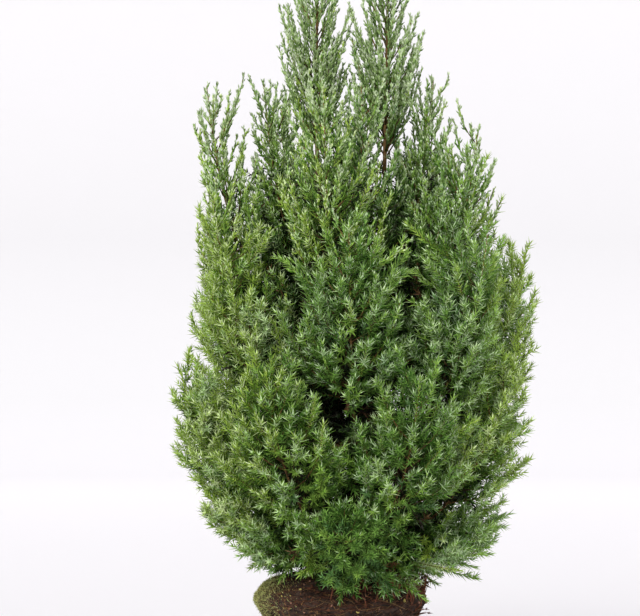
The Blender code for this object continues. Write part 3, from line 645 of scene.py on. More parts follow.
STEM_SPRAY_UP, PLUME_FOOT = {"leader": 1.5, "heart": 0.7}, (0.05, 0.35)
STEM_SPRAY_LENGTHS = {"leader": (0.050, 0.088), "heart": (0.050, 0.115)}
FILL_SPRAYS, FILL_LENGTHS, FILL_REACH, FILL_EDGE, FILL_Z = 90, (0.045, 0.095), (0.10, 0.80), 0.022, 0.190
FILL_UP = {"low": 0.5, "middle": 0.5, "heart": 0.5, "inner": 1.2, "upper": 1.2}
FILL_FROM = {"low": 0.66, "middle": 0.63, "heart": 0.66, "inner": 0.72, "upper": 0.72}


def points_on(bends, shares):
    """The same places on each of N three-point curves, as N x places x 3."""
    return bezier([bends[:, None, i] for i in range(3)], np.broadcast_to(shares, (len(bends), len(shares))))


def lengths(bends):
    """Length of each twig from foot to knee to tip."""
    return np.linalg.norm(np.diff(bends, axis=1), axis=2).sum(axis=1)


def bent(foot, half, out, on):
    """Twigs as foot, knee and tip: half their length goes out, and the other half goes on."""
    knee = foot + half * unit(out)
    return np.stack([foot, knee, knee + half * unit(on)], 1)


def level(azimuth):
    """Level directions."""
    return np.stack([np.cos(azimuth), np.sin(azimuth), np.zeros(len(azimuth))], 1)


def twig_rule(plan, seed):
    """Every twig of a plume as foot, knee and tip. Feet stand at equal steps up the stem, each turned by
    the golden angle. A twig leaves the stem at the first angle and goes on at the second, both lifted to
    the sky, and is shorter the higher it stands."""
    number = np.arange(TWIGS[plan.tier])
    jitter = np.random.default_rng(seed).uniform(-1, 1, (len(number), 3))
    share = FIRST_TWIG + (LAST_TWIG - FIRST_TWIG) * (number + 0.5) / len(number)
    foot, way = bezier(plan.bend, share), heading(plan.bend, share)
    first, second_way = across_of(way, np.broadcast_to(plan.side, way.shape))
    turn = np.radians(number * GOLDEN_DEG + jitter[:, 0] * TWIG_TURN_JITTER_DEG)[:, None]
    out = unit(np.cos(turn) * first + np.sin(turn) * second_way * FLATNESS)
    uneven = SLENDER_TWIG_JITTER if plan.tier in SLENDER_TIERS else TWIG_JITTER
    length = plan.half_width * (TWIG_LONGEST - TWIG_SHORTENING * share) * (1 + uneven * jitter[:, 1])
    length *= np.where(np.abs(np.sin(turn[:, 0])) > 0.7, FLATNESS, 1)
    if plan.tier == "leader":
        length *= LEADER_TWIG_LONGER
    high = np.clip((foot[:, 2:] - TWIG_HIGH_FROM_Z) / (TWIG_HIGH_TO_Z - TWIG_HIGH_FROM_Z), 0, 1)
    ways = []
    for degrees, up, up_high in zip(plan.angles, TWIG_UP, TWIG_UP_HIGH):
        angle = np.radians(degrees + jitter[:, 2] * TWIG_ANGLE_JITTER_DEG)[:, None]
        ways.append(turned(way, out, angle) + mixed(up, up_high, high) * UP)
    return bent(foot, length[:, None] / 2, *ways)


def over_ball(points):
    """Height of each point over the ball's mounded top, or a large number outside the ball."""
    radius, height = ball_outline(OUTLINE_PLACES // 2)
    mound = slice(0, int(np.argmax(radius)))
    distance = np.hypot(points[:, 0], points[:, 1])
    above = points[:, 2] - np.interp(distance, radius[mound], height[mound])
    return np.where(distance > BALL_BULGE_R + BALL_SIDE_MARGIN, 1.0, above)


def in_crown(points, margin):
    """Whether each point is inside the crown's outline by a margin. At each height the outline is an
    ellipse with its own reach to the left, to the right, and to the front and back."""
    reaches = (CROWN_LEFT, CROWN_RIGHT, CROWN_DEEP)
    left, right, deep = (np.interp(points[:, 2], CROWN_HEIGHTS, reach) - margin for reach in reaches)
    aside = points[:, 0] / np.where(points[:, 0] > 0, right, left)
    deep = points[:, 1] / deep
    return (aside**2 + deep**2 < 1) & (points[:, 2] < cad_high[2] - margin)


def is_clear(points, edge):
    """Whether each point is over the ball, inside the crown by its edge margin, and clear of limbs."""
    clear = (over_ball(points) > BALL_MARGIN) & in_crown(points, edge)
    for path, radii in limbs:
        clear &= gap_to_path(points, path, radii) > LIMB_MARGIN
    return clear


def widths_to_plumes(points):
    """Distance of each point to each plume's stem, in that plume's widths."""
    point_like = np.zeros(PLUME_LINE_PLACES)
    return np.array([
        gap_to_path(points, path, point_like) / plan.half_width for path, plan in zip(plume_lines, plans)
    ])


def has_room(points, index):
    """Whether each point is nearer, for its width, to its own plume's stem than to any other, or nearly
    so."""
    widths = widths_to_plumes(points)
    nearest = np.delete(widths, index, axis=0).min(axis=0)
    margin = ROOM_MARGIN if plans[index].tier in OUTER_TIERS else INNER_ROOM_MARGIN
    return (nearest - widths[index]) * plans[index].half_width / 2 > margin


def along_bough(plan, reach, spread, count, rng):
    """Feet anywhere on a bough, and level directions that spread round its own."""
    path, _ = plan.bough
    foot = bezier(path[[0, 2, 4]], rng.uniform(*reach, count))
    return foot, level(math.atan2(*(path[-1] - path[0])[1::-1]) + rng.normal(0, spread, count))


def low_sprays(plan, rng):
    """Twigs of a low bough that stand out level and then sag a little."""
    count = LOW_SPRAYS[plan.tier]
    foot, out = along_bough(plan, LOW_SPRAY_REACH, LOW_SPRAY_SPREAD, count, rng)
    half = rng.uniform(*LOW_SPRAY_LENGTHS, (count, 1)) / 2
    sag = rng.uniform(*LOW_SPRAY_SAG, (count, 1)) * UP
    return bent(foot, half, out + 0.3 * sag, out + sag)


def stragglers(plan, rng):
    """Long thin twigs of a low bough that stand out of the crown's foot, on its right."""
    foot, out = along_bough(plan, STRAGGLER_REACH, STRAGGLER_SPREAD, STRAGGLERS, rng)
    out = out + rng.uniform(*STRAGGLER_SAG, (STRAGGLERS, 1)) * UP
    half = rng.uniform(*STRAGGLER_LENGTHS, (STRAGGLERS, 1)) / 2
    sprays = bent(foot, half, out, out + rng.uniform(*STRAGGLER_TIP_UP, (STRAGGLERS, 1)) * UP)
    tip_x = sprays[:, 2, 0]
    return sprays[np.clip(tip_x, *STRAGGLER_X) == tip_x]


def rising(foot, longest, up, rng):
    """Twigs that stand out all round a stem and rise, the more so in their second half."""
    out = level(rng.uniform(0, 2 * math.pi, len(foot)))
    half = rng.uniform(*longest, (len(foot), 1)) / 2
    return bent(foot, half, out + up * UP, out + 2 * up * UP)


def stem_sprays(plan, rng):
    """Twigs on the stem that carries a plume and on the foot of the plume's own stem."""
    path, _ = stems[plan.parent]
    path = np.concatenate([path, bezier(plan.bend, np.linspace(*PLUME_FOOT, 5))])
    places = rng.uniform(*STEM_SPRAY_REACH[plan.tier], STEM_SPRAYS) * (len(path) - 1)
    foot = on_path(places, np.arange(len(path)), path)
    return rising(foot, STEM_SPRAY_LENGTHS[plan.tier], STEM_SPRAY_UP[plan.tier], rng)


def fill_sprays(plan, rng):
    """Twigs that reach into the gaps between plumes. They leave a plume's stem all round it, and only those
    are kept whose tip is a good part of a plume's width away from every stem."""
    foot = bezier(plan.bend, rng.uniform(*FILL_REACH, FILL_SPRAYS))
    sprays = rising(foot, FILL_LENGTHS, FILL_UP[plan.tier], rng)
    return sprays[widths_to_plumes(sprays[:, 2]).min(axis=0) > FILL_FROM[plan.tier]]


def group_name(plan):
    """Plumes are drawn in groups: one for each tier, or two where it is large, and one for all inner
    plumes."""
    if plan.tier in ("low", "middle"):
        return f"{plan.tier}_{'front' if plan.bend[2][1] < 0 else 'back'}"
    return {"heart": "inner"}.get(plan.tier, plan.tier)


def by_group(kind, corners, one, slots, plume, finishes, smooth=False):
    """One piece for each group of plumes, from many like things. corners holds N things of C corners, one
    holds one thing's triangles, slots the finish of each triangle, and plume the plume that each thing
    grows on."""
    slots = np.broadcast_to(slots, (len(corners), len(one)))
    for name in dict.fromkeys(group_of_plume[plume]):
        mine = group_of_plume[plume] == name
        made = new_piece(f"{name}_{kind}", corners[mine], one, finishes, slots[mine], smooth)
        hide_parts(*[plan.name for plan, group in zip(plans, group_of_plume) if group == name])


group_of_plume = np.array([group_name(plan) for plan in plans])
plume_bends = np.array([plan.bend for plan in plans])
plume_lines = points_on(plume_bends, np.linspace(0, 1, PLUME_LINE_PLACES))
MORE_TWIGS = (
    (low_sprays, LOW_SPRAYS, EVEN_EDGE, LOW_SPRAY_Z),
    (stragglers, ("skirt",), STRAGGLER_EDGE, STRAGGLER_Z),
    (stem_sprays, STEM_SPRAY_UP, EVEN_EDGE, 0),
    (fill_sprays, FILL_UP, FILL_EDGE, FILL_Z),
)
lots = []
for index, plan in enumerate(plans):
    whole = twig_rule(plan, SEED + index)
    foot = whole[:, :1]
    edge = np.random.default_rng(SEED + EDGE_SEED + index).uniform(*UNEVEN_EDGE, len(whole))
    longest = np.zeros(len(whole))
    for shorter in SHORTER:
        points = points_on(foot + shorter * (whole - foot), SAMPLES).reshape(-1, 3)
        free = has_room(points, index) & is_clear(points, np.repeat(edge, len(SAMPLES)))
        longest[free.reshape(-1, len(SAMPLES)).all(axis=1)] = shorter
    kept = longest > 0
    lots.append(((foot + longest[:, None, None] * (whole - foot))[kept], index, False, edge[kept]))
    for grow, tiers, margin, lowest in MORE_TWIGS:
        if plan.tier in tiers and (grow is not stragglers or plan.bend[2][0] >= 0):
            sprays = grow(plan, np.random.default_rng(SEED + SPRAY_SEED + index))
            points = points_on(sprays, SPRAY_SAMPLES).reshape(-1, 3)
            free = is_clear(points, margin) & (points[:, 2] > lowest)
            kept = free.reshape(-1, len(SPRAY_SAMPLES)).all(axis=1)
            lots.append((sprays[kept], index, grow is stragglers, EVEN_EDGE))
twig = np.concatenate([twigs for twigs, *_ in lots])
owner, is_thin, edge = (
    np.concatenate([np.broadcast_to(lot[column], len(lot[0])) for lot in lots]) for column in (1, 2, 3)
)
young_bark = [
    mottled("young_bark_brown", (86, 70, 44), 0.75),
    mottled("young_bark_orange", (118, 90, 54), 0.7),
    mottled("young_bark_green", (82, 98, 46), 0.7),
]
along = np.linspace(0, 1, STEM_PLACES)
radii = np.array([plan.stem_r for plan in plans])[:, None] * (1 - (1 - SPIRE_R_SHARE) * along)
corners = tubes(points_on(plume_bends, SPIRE_TO * along), radii, STEM_SIDES)
one = turned_faces(STEM_PLACES, STEM_SIDES)
by_group("stems", corners, one, 1, np.arange(len(plans)), young_bark, smooth=True)
along = np.linspace(0, 1, TWIG_PLACES)
thickness = np.clip(lengths(twig) / FULL_TWIG_LENGTH, THINNEST_TWIG, THICKEST_TWIG)[:, None]
corners = tubes(points_on(twig, along), mixed(TWIG_R, TWIG_TIP_R, along) * thickness, TWIG_SIDES)
rng = np.random.default_rng(FOLIAGE_SEED)
slots = rng.choice(len(young_bark), (len(twig), 1), p=TWIG_TONE_SHARES)
one = turned_faces(TWIG_PLACES, TWIG_SIDES)
by_group("twigs", corners, one, slots, owner, young_bark, smooth=True)

# Side shoots
# Twigs branch again: short side shoots stand round each twig, long near its foot and short at its tip, so
# that a twig is a small plume of its own. Shoots stand out low down and hug their twig higher up. They are
# few near the crown's axis and low on its right, and part over the ball.
SHOOT_STEP, GROWN_STEP = 0.0066, 0.0056
SHOOT_LONGEST, SHOOT_SHORTEST, SHOOT_SHARE, SHOOT_TAPER = 0.026, 0.012, 0.36, 0.70
GROWN_LONGEST, GROWN_SHORTEST, GROWN_SHARE, GROWN_TAPER = 0.020, 0.008, 0.26, 0.78
SHOOT_FROM, SHOOT_AT_FOOT, SHOOT_CLOSES, SHOOT_TURN_DEG = 0.12, 1.05, 0.6, 53
SHOOT_PLACES, SHOOT_TURN_JITTER_DEG, SHOOT_JITTER_DEG, SHOOT_UNEVEN = (0.2, 0.8), 20, 6, (0.75, 1.2)
YOUNG_SHOOT_DEG, GROWN_SHOOT_DEG = 44, 22
YOUNG_SHOOT_UP, GROWN_SHOOT_UP = 0.30, 0.45
GROWN_FROM_Z, GROWN_TO_Z = 0.40, 0.62
TWIG_LEAVES_FROM, UPPER_STEM_FROM, SPIRE_FROM = 0.45, 0.50, 0.62
STRAGGLER_BARE_TO, STRAGGLER_SHARE, STRAGGLER_SHOOT = 0.42, 0.34, 0.54
ASKEW = (0.31, 0.17, 0.93)
SHOOTS_OUT, BOX_MARGIN = 0.006, 0.008
MIDDLE_X, DEEP_R, DEEP_BARE, DEEP_TO_Z = 0.012, 0.060, 0.60, 0.56
LOWEST_SHOOT_Z, LOWER_AT_BACK = 0.140, 0.12
BARE_X, BARE_Z, BARE_RISE, BARE_SHARE = 0.048, 0.152, 0.30, 0.70
PARTING_X, PARTING_HALF, PARTING_TO_Z, PARTING_Y = -0.030, 0.009, 0.206, -0.03


def in_box(points):
    """Whether each point is inside the solids' box by a margin."""
    low, high = np.array(cad_low) + BOX_MARGIN, np.array(cad_high) - BOX_MARGIN
    return ((points > low) & (points < high)).all(axis=1)


def counted(counts):
    """For things dealt out by count: which owner each has, and its number with that owner."""
    owners = np.repeat(np.arange(len(counts)), counts)
    return owners, np.arange(len(owners)) - np.repeat(np.cumsum(counts) - counts, counts)


def stretch(bends, start, end):
    """The stretch of three-point curves between two shares, as three-point curves. Its middle point is
    (1-a)(1-b) first + (a(1-b) + b(1-a)) middle + ab last."""
    weights = ((1 - start) * (1 - end), start * (1 - end) + end * (1 - start), start * end)
    knee = sum(weight * bends[:, i] for i, weight in enumerate(weights))
    ends = points_on(bends, (start, end))
    return np.stack([ends[:, 0], knee, ends[:, 1]], 1)


def place_and_way(bends, share):
    """One place on each of N three-point curves, and the curve's direction there."""
    bend = bends.swapaxes(0, 1)
    return bezier(bend, share), heading(bend, share)


def round_curve(bends, share, turn_deg):
    """For one place on each of N three-point curves: the place, the curve's direction, and a direction
    square to it, turned from the one that lies nearest to ASKEW."""
    foot, way = place_and_way(bends, share)
    across = across_of(way, np.broadcast_to(ASKEW, way.shape))
    return foot, way, turned(*across, np.radians(turn_deg)[:, None])


carrier = np.concatenate([twig, stretch(plume_bends, UPPER_STEM_FROM, SPIRE_TO)])
carrier_owner = np.concatenate([owner, np.arange(len(plans))])
carrier_edge = np.concatenate([edge, np.full(len(plans), EVEN_EDGE)])
carrier_thin = np.concatenate([is_thin, np.zeros(len(plans), bool)])
carrier_length = lengths(carrier)
grown = np.clip((carrier[:, 1, 2:] - GROWN_FROM_Z) / (GROWN_TO_Z - GROWN_FROM_Z), 0, 1)
room = carrier_length * (1 - SHOOT_FROM) / mixed(SHOOT_STEP, GROWN_STEP, grown[:, 0])
per_twig = np.maximum(3, room.astype(int))
on_twig, number = counted(per_twig)
share = SHOOT_FROM + (1 - SHOOT_FROM) * (number + rng.uniform(*SHOOT_PLACES, len(number))) / per_twig[on_twig]
turn_jitter = rng.uniform(-SHOOT_TURN_JITTER_DEG, SHOOT_TURN_JITTER_DEG, len(number))
turn = number * GOLDEN_DEG + turn_jitter + on_twig * SHOOT_TURN_DEG
foot, way, out = round_curve(carrier[on_twig], share, turn)
share, grown, length = share[:, None], grown[on_twig], carrier_length[on_twig, None]
thin = carrier_thin[on_twig]
angle_jitter = rng.normal(0, SHOOT_JITTER_DEG, (len(number), 1))
angle = np.radians(mixed(YOUNG_SHOOT_DEG, GROWN_SHOOT_DEG, grown) + angle_jitter)
up = mixed(YOUNG_SHOOT_UP, GROWN_SHOOT_UP, grown) * UP
young = np.clip(SHOOT_SHARE * length, SHOOT_SHORTEST, SHOOT_LONGEST) * (SHOOT_AT_FOOT - SHOOT_TAPER * share)
old = np.clip(GROWN_SHARE * length, GROWN_SHORTEST, GROWN_LONGEST) * (SHOOT_AT_FOOT - GROWN_TAPER * share)
half = mixed(young, old, grown) * rng.uniform(*SHOOT_UNEVEN, (len(number), 1)) / 2
half[thin] *= STRAGGLER_SHOOT
shoots = bent(foot, half, turned(way, out, angle) + up / 3, turned(way, out, SHOOT_CLOSES * angle) + up)
tip = shoots[:, 2]
x, y, z = tip.T
kept = in_crown(tip, carrier_edge[on_twig] - SHOOTS_OUT) | (on_twig >= len(twig)) | thin
kept &= (over_ball(tip) > BALL_MARGIN) & in_box(tip)
kept &= (np.abs(x - PARTING_X) > PARTING_HALF) | (z > PARTING_TO_Z) | (y > PARTING_Y)
kept &= thin | (z + LOWER_AT_BACK * y > LOWEST_SHOOT_Z)
sparse = (x > BARE_X) & (z < BARE_Z + BARE_RISE * x)
kept &= ~sparse | (rng.random(len(thin)) > BARE_SHARE)
kept &= ~thin | ((share[:, 0] > STRAGGLER_BARE_TO) & (rng.random(len(thin)) < STRAGGLER_SHARE))
depth = 1 - np.hypot(x - MIDDLE_X, y / DEPTH_SHARE) / DEEP_R
kept &= (depth < 0) | (rng.random(len(thin)) > DEEP_BARE) | (z > DEEP_TO_Z)
twig_ends, spires = stretch(twig, TWIG_LEAVES_FROM, 1.0), stretch(plume_bends, SPIRE_FROM, SPIRE_TO)
shoot = np.concatenate([shoots[kept], twig_ends, spires])
shoot_length = lengths(shoot)
plume_of = np.concatenate([carrier_owner[on_twig[kept]], carrier_owner])
twig_of = np.concatenate([on_twig[kept], np.arange(len(carrier))])
near_end = np.concatenate([share[kept, 0], np.ones(len(carrier))]) - 0.5

# Colours of the foliage
# The plant is yellow-green on the left and where it is young and lit, blue-green low in the middle, and
# grey-green at its top. Each spray has one colour, with dry brown sprays here and there inside. Deep green
# far inside is partly the colour of old inner needles and partly painted shade, and the near-black dark
# green there is painted shade. Each face of a needle or cord then takes a pale, mid or dull copy of its
# colour by a painted lightness: pale is a painted highlight, and on a needle's upper side also its bluish
# bloom, and dull is painted shade.
PAINTED_LIGHT_LEVELS = ("pale", "mid", "dull")
# Each tint as pale, mid and dull copies: pale is a painted highlight, and on a needle's upper side also its
# bloom; dull is painted shade. Deep is partly the colour of old inner needles and partly painted shade; dark
# is painted shade.
TINTS = {
    "lime": ((198, 216, 156), (150, 179, 74), (90, 124, 36)),
    "fresh": ((184, 208, 154), (134, 171, 74), (75, 112, 34)),
    "green": ((168, 192, 146), (114, 154, 70), (60, 98, 32)),
    "blue": ((164, 188, 150), (100, 140, 78), (51, 82, 36)),
    "sage": ((188, 204, 164), (148, 176, 108), (94, 123, 60)),
    "deep": ((120, 146, 92), (61, 94, 34), (34, 58, 17)),
    "dark": ((66, 84, 46), (29, 49, 17), (17, 31, 9)),
    "dry": ((144, 114, 80), (108, 80, 52), (74, 52, 36)),
}
COLOURS = list(TINTS)
FAR_X = 0.17
WARM_LEFT, WARM_SIDES, WARM_HIGH, WARM_HIGH_Z = 0.18, 0.45, 0.40, 0.45
WARM_PLUME, WARM_TWIG, WARM_SPRAY, WARM_END = 0.14, 0.14, 0.10, 0.40
WARM_LIMITS = (0.42, 0.07, -0.36)
# Painted light and shade of each needle and cord face, a lightness that picks its pale, mid or dull copy:
# paler towards a shoot's end, partly as the colour of new growth, darker low down and paler high up, paler on
# the sides and on the right, lighter low on the sides, in patches of painted light and shade, and darker low
# in the middle (SHADE). PALE_TWIG is a random tone of each twig.
PALE_END, PALE_HIGH, PALE_HIGH_Z, PALE_HIGH_SPAN, PALE_TWIG = 0.60, 1.5, 0.46, (0.2, 0.7), 0.13
PALE_SIDES, PALE_SIDES_FROM, PALE_RIGHT = 0.36, 0.4, 0.10
PATCH, PATCH_SIZE, PATCH_SEED = 0.12, 0.045, 8
LOW_SIDES, LOW_SIDES_Z = 1.05, 0.28
SHADE, SHADE_COOL, SHADE_Z, SHADE_FADE, SHADE_NARROW = 0.54, 0.06, 0.33, 0.14, 2.6
# Painted shade of the crown's inside: sprays deeper in than DEEP_FROM take deep green, partly the colour of
# old inner needles and partly painted shade, and deeper than DARK_FROM near-black dark green as painted
# shade. This fades out up to DARK_TO_Z.
DEEP_FROM, DARK_FROM, DEEP_JITTER, DARK_TO_Z, DARK_FADE = 0.33, 0.54, 0.07, 0.68, 0.20
DRY_FROM, DRY_CHANCE, DRY_TO_Z = 0.30, 1.5, 0.5
SAGE_Z, SAGE_FADE, SAGE_JITTER, GROWN_JITTER = 0.625, 0.12, 0.5, 0.22
ENVELOPE_FROM_Z, ENVELOPE_TO_Z, ENVELOPE_STEP, ENVELOPE_PERCENT = 0.15, 0.86, 0.03, 92
LEAF_ROUGHNESS = 0.48

tip = shoot[:, 2]
x, y, z = tip.T
distance = np.hypot(x - MIDDLE_X, y / DEPTH_SHARE)
levels = np.arange(ENVELOPE_FROM_Z, ENVELOPE_TO_Z, ENVELOPE_STEP)
envelope = [
    np.percentile(distance[np.abs(z - height) < ENVELOPE_STEP], ENVELOPE_PERCENT) for height in levels
]
# How far inside the crown each spray lies, fading out towards the top. It deals the painted-shade colours
# deep and dark, and the dry sprays.
inside = np.clip(1 - distance / np.interp(z, levels, envelope), 0, 1)
inside *= np.clip((DARK_TO_Z - z) / DARK_FADE, 0, 1)
chance = rng.normal(size=(4, len(shoot)))
plume_tint = rng.normal(size=len(plans))[plume_of]
twig_tint = rng.normal(size=(2, len(carrier)))[:, twig_of]
aside = (x - MIDDLE_X) / FAR_X
# Painted shade low in the middle of the crown; it also cools the colour there.
shaded = np.clip((SHADE_Z - z) / SHADE_FADE, 0, 1) * np.clip(1 - SHADE_NARROW * aside**2, 0, 1)
# Painted light and shade of each spray, with a random tone for each twig.
painted_light_and_tone = PALE_END * near_end + PALE_HIGH * (np.clip(z, *PALE_HIGH_SPAN) - PALE_HIGH_Z)
painted_light_patches = PATCH * rumple(tip, PATCH_SIZE, PATCH_SEED)
painted_light_and_tone += PALE_SIDES * (aside**2 - PALE_SIDES_FROM) + PALE_RIGHT * aside + painted_light_patches
painted_light_and_tone += PALE_TWIG * twig_tint[0]
painted_light_and_tone += LOW_SIDES * np.clip((LOW_SIDES_Z - z) / SHADE_FADE, 0, 1) * aside**2 - SHADE * shaded
warm = -SHADE_COOL * shaded + WARM_SIDES * aside**2 - WARM_LEFT * aside + WARM_HIGH * (z - WARM_HIGH_Z)
warm += WARM_PLUME * plume_tint + WARM_TWIG * twig_tint[1] + WARM_SPRAY * chance[0] + WARM_END * near_end
# Deep and dark colours inside the crown are painted shade.
depth = inside + DEEP_JITTER * chance[1]
colour = np.digitize(warm, WARM_LIMITS)
for name, here in (
    ("sage", (z - SAGE_Z) / SAGE_FADE + SAGE_JITTER * chance[3] > 0),
    ("deep", depth > DEEP_FROM),
    ("dark", depth > DARK_FROM),
    ("dry", (inside > DRY_FROM) & (chance[2] > DRY_CHANCE) & (z < DRY_TO_Z)),
):
    colour[here] = COLOURS.index(name)
is_grown = (z - GROWN_FROM_Z) / (GROWN_TO_Z - GROWN_FROM_Z) + GROWN_JITTER * chance[3] > 0.5
# Every tint in its pale copy (painted highlight, and a needle's bloom), mid copy and dull copy (painted
# shade).
leaf_finishes = [
    mottled(f"{name}_{shade}", tint, LEAF_ROUGHNESS)
    for name, tints in TINTS.items()
    for shade, tint in zip(PAINTED_LIGHT_LEVELS, tints)
]

# Young needles
# The lower and inner shoots carry awl-shaped needles in threes, each whorl turned against the last. They
# stand out in the middle of a shoot and close at its tip. Their upper side is paler and bluish where the
# painted lightness is high, a painted highlight on its bloom, and their two lower sides are dull as painted
# shade where it is low.
WHORL_STEP, DEEP_STEP, HIDDEN_STEP = 0.0028, 1.2, 1.9
NEEDLE_LENGTH, NEEDLE_WIDTH = 0.0084, 0.0018
NEEDLE_DEG, NEEDLE_TIP_DEG, NEEDLE_TURN_JITTER_DEG, NEEDLE_JITTER_DEG = 58, 20, 16, 7
NEEDLE_AT_FOOT, NEEDLE_SWELL, NEEDLE_UNEVEN = 0.80, 0.30, (0.8, 1.15)
# Painted lightness from which a needle's upper face is pale as painted highlight, and below which its lower
# faces are dull as painted shade.
PALE_FROM, PAINTED_SHADE_BELOW, NEEDLE_TINT_JITTER = 0.35, 0.45, 0.12
SHOOT_TWIST_DEG = 31
young = np.flatnonzero(~is_grown)
hidden = np.isin(colour[young], [COLOURS.index("dark"), COLOURS.index("dry")])
steps = np.select([hidden, colour[young] == COLOURS.index("deep")], [HIDDEN_STEP, DEEP_STEP], 1)
whorls = np.maximum(3, np.round(shoot_length[young] / (WHORL_STEP * steps)).astype(int))
on_shoot, number = counted(3 * whorls)
on_young = young[on_shoot]
share = (number // 3 + 0.6) / whorls[on_shoot]
turn_jitter = rng.uniform(-NEEDLE_TURN_JITTER_DEG, NEEDLE_TURN_JITTER_DEG, len(number))
turn = number % 3 * 120 + number // 3 * 60 + turn_jitter + on_shoot * SHOOT_TWIST_DEG
foot, way, out = round_curve(shoot[on_young], share, turn)
angle_jitter = rng.normal(0, NEEDLE_JITTER_DEG, len(number))
angle = np.radians(mixed(NEEDLE_DEG, NEEDLE_TIP_DEG, share**2) + angle_jitter)[:, None]
length = NEEDLE_LENGTH * (NEEDLE_AT_FOOT + NEEDLE_SWELL * np.sin(math.pi * share))
length *= rng.uniform(*NEEDLE_UNEVEN, len(number))
corners = awls(foot, foot + length[:, None] * turned(way, out, angle), NEEDLE_WIDTH, way)
# Painted lightness of each needle: where high its upper face is pale as painted highlight, and where low its
# two lower faces are dull as painted shade.
painted_lightness = (share + painted_light_and_tone[on_young] + rng.normal(0, NEEDLE_TINT_JITTER, len(share)))[:, None]
shade = np.where([True, False, False], painted_lightness < PALE_FROM, 1 + (painted_lightness < PAINTED_SHADE_BELOW))
slots = len(PAINTED_LIGHT_LEVELS) * colour[on_young][:, None] + shade
by_group("needles", corners, AWL_FACES, slots, plume_of[on_young], leaf_finishes)

# Cords of scale leaves
# Grown shoots are cords of tiny leaves pressed to the twig, with shorter cords along both sides at a narrow
# angle. A shoot is a slim bent cord, and its side cords are closed spindles.
CORD_STEP, CORD_LENGTH, CORD_WIDTH, CORD_BULGE = 0.0029, 0.0066, 0.0019, 0.50
CORD_RINGS, CORD_SIDES, CORD_SWELL = (0.10, 0.70), 3, 0.9
CORD_DEG, CORD_TIP_DEG, CORD_TURN_JITTER_DEG, CORD_JITTER_DEG = 25, 15, 25, 5
CORDS_TO, CORD_PAIR_DEG, CORD_AT_FOOT, CORD_SHORTENING = 0.94, 75, 1.12, 0.62
CORD_UNEVEN = (0.75, 1.2)
PALE_CORD_FROM, CORD_TINT_JITTER = 0.75, 0.25


def spindles(foot, tip, width, facing):
    """Closed slim bodies: three corners round the bulge, the width apart, then a foot and a tip on the
    line."""
    half, side, keel = blade(foot, tip, width, facing)
    middle = foot + CORD_BULGE * (tip - foot)
    base = [middle - half * side - 0.5 * half * keel, middle + half * side - 0.5 * half * keel]
    return np.stack([*base, middle + half * keel, foot, tip], 1)


old = np.flatnonzero(is_grown)
radii = np.full((len(old), len(CORD_RINGS)), CORD_WIDTH / 2 * CORD_SWELL)
corners = tubes(points_on(shoot[old], CORD_RINGS), radii, CORD_SIDES)
corners[:, -2:] = shoot[old][:, [0, 2]]
slots = len(PAINTED_LIGHT_LEVELS) * colour[old][:, None] + PAINTED_LIGHT_LEVELS.index("mid")
one = turned_faces(len(CORD_RINGS), CORD_SIDES)
by_group("cords", corners, one, slots, plume_of[old], leaf_finishes, smooth=True)
cords = np.maximum(4, np.round(shoot_length[old] / CORD_STEP).astype(int))
on_shoot, number = counted(cords)
on_old = old[on_shoot]
share = (number + 0.5) / cords[on_shoot] * CORDS_TO
turn_jitter = rng.uniform(-CORD_TURN_JITTER_DEG, CORD_TURN_JITTER_DEG, len(number))
turn = number * 180 + number // 2 * CORD_PAIR_DEG + turn_jitter + on_shoot * SHOOT_TWIST_DEG
foot, way, out = round_curve(shoot[on_old], share, turn)
angle_jitter = rng.normal(0, CORD_JITTER_DEG, len(number))
angle = np.radians(mixed(CORD_DEG, CORD_TIP_DEG, share) + angle_jitter)[:, None]
length = CORD_LENGTH * (CORD_AT_FOOT - CORD_SHORTENING * share) * rng.uniform(*CORD_UNEVEN, len(number))
corners = spindles(foot, foot + length[:, None] * turned(way, out, angle), CORD_WIDTH, way)
# Painted lightness of each side cord: where high it is pale as painted highlight, and where low dull as
# painted shade.
painted_lightness = (share + painted_light_and_tone[on_old] + rng.normal(0, CORD_TINT_JITTER, len(share)))[:, None]
slots = len(PAINTED_LIGHT_LEVELS) * colour[on_old][:, None] + np.where(painted_lightness > PALE_CORD_FROM, 0, 1 + (painted_lightness < PAINTED_SHADE_BELOW))
by_group("side_cords", corners, turned_faces(1, 3), slots, plume_of[on_old], leaf_finishes)

# Wood of the young shoots
# Under its needles a young shoot is a thin twig, green or brown like the young bark. It is one slim awl
# from the shoot's foot to its tip.
SHOOT_WIDTH, SHOOT_TONE_SHARES = 0.0010, (0.4, 0.15, 0.45)
corners = awls(shoot[young, 0], shoot[young, 2], SHOOT_WIDTH, np.broadcast_to(ASKEW, (len(young), 3)))
slots = rng.choice(len(young_bark), (len(young), 1), p=SHOOT_TONE_SHARES)
by_group("shoots", corners, AWL_FACES, slots, plume_of[young], young_bark)

# Dead twigs inside the crown
# No light comes in round the stems and the bare part of each bough, and the short twigs there have died.
# They are brown and brittle, and keep some needles: dry brown ones, and near-black and dark green ones
# that are painted shade of the crown's inside. A brush of red-brown twigs stands on the ball, at its right.
DEAD_TO_THE_METRE, DEAD_NEEDLES, DEAD_NEEDLE_WIDTH = 340, 9, 0.0028
DEAD_LENGTHS, DEAD_TO_Z, DEAD_EDGE, DEAD_STEM_SHARE = (0.020, 0.066), 0.62, 0.03, 0.62
DEAD_RADII, DEAD_SIDES = (0.0007, 0.0005, 0.0003), 3
DEAD_ALONG, DEAD_OUT, DEAD_UP, DEAD_KNEE, DEAD_KNEE_UP = (0.05, 0.98), 0.7, 0.25, 0.3, 0.15
DEAD_LEAVES_FROM, DEAD_LEAF_SPREAD, DEAD_LEAF_LENGTHS = 0.2, 0.75, (0.7, 1.1)
DEAD_LEAF_TONE_SHARES = (0.24, 0.10, 0.66)
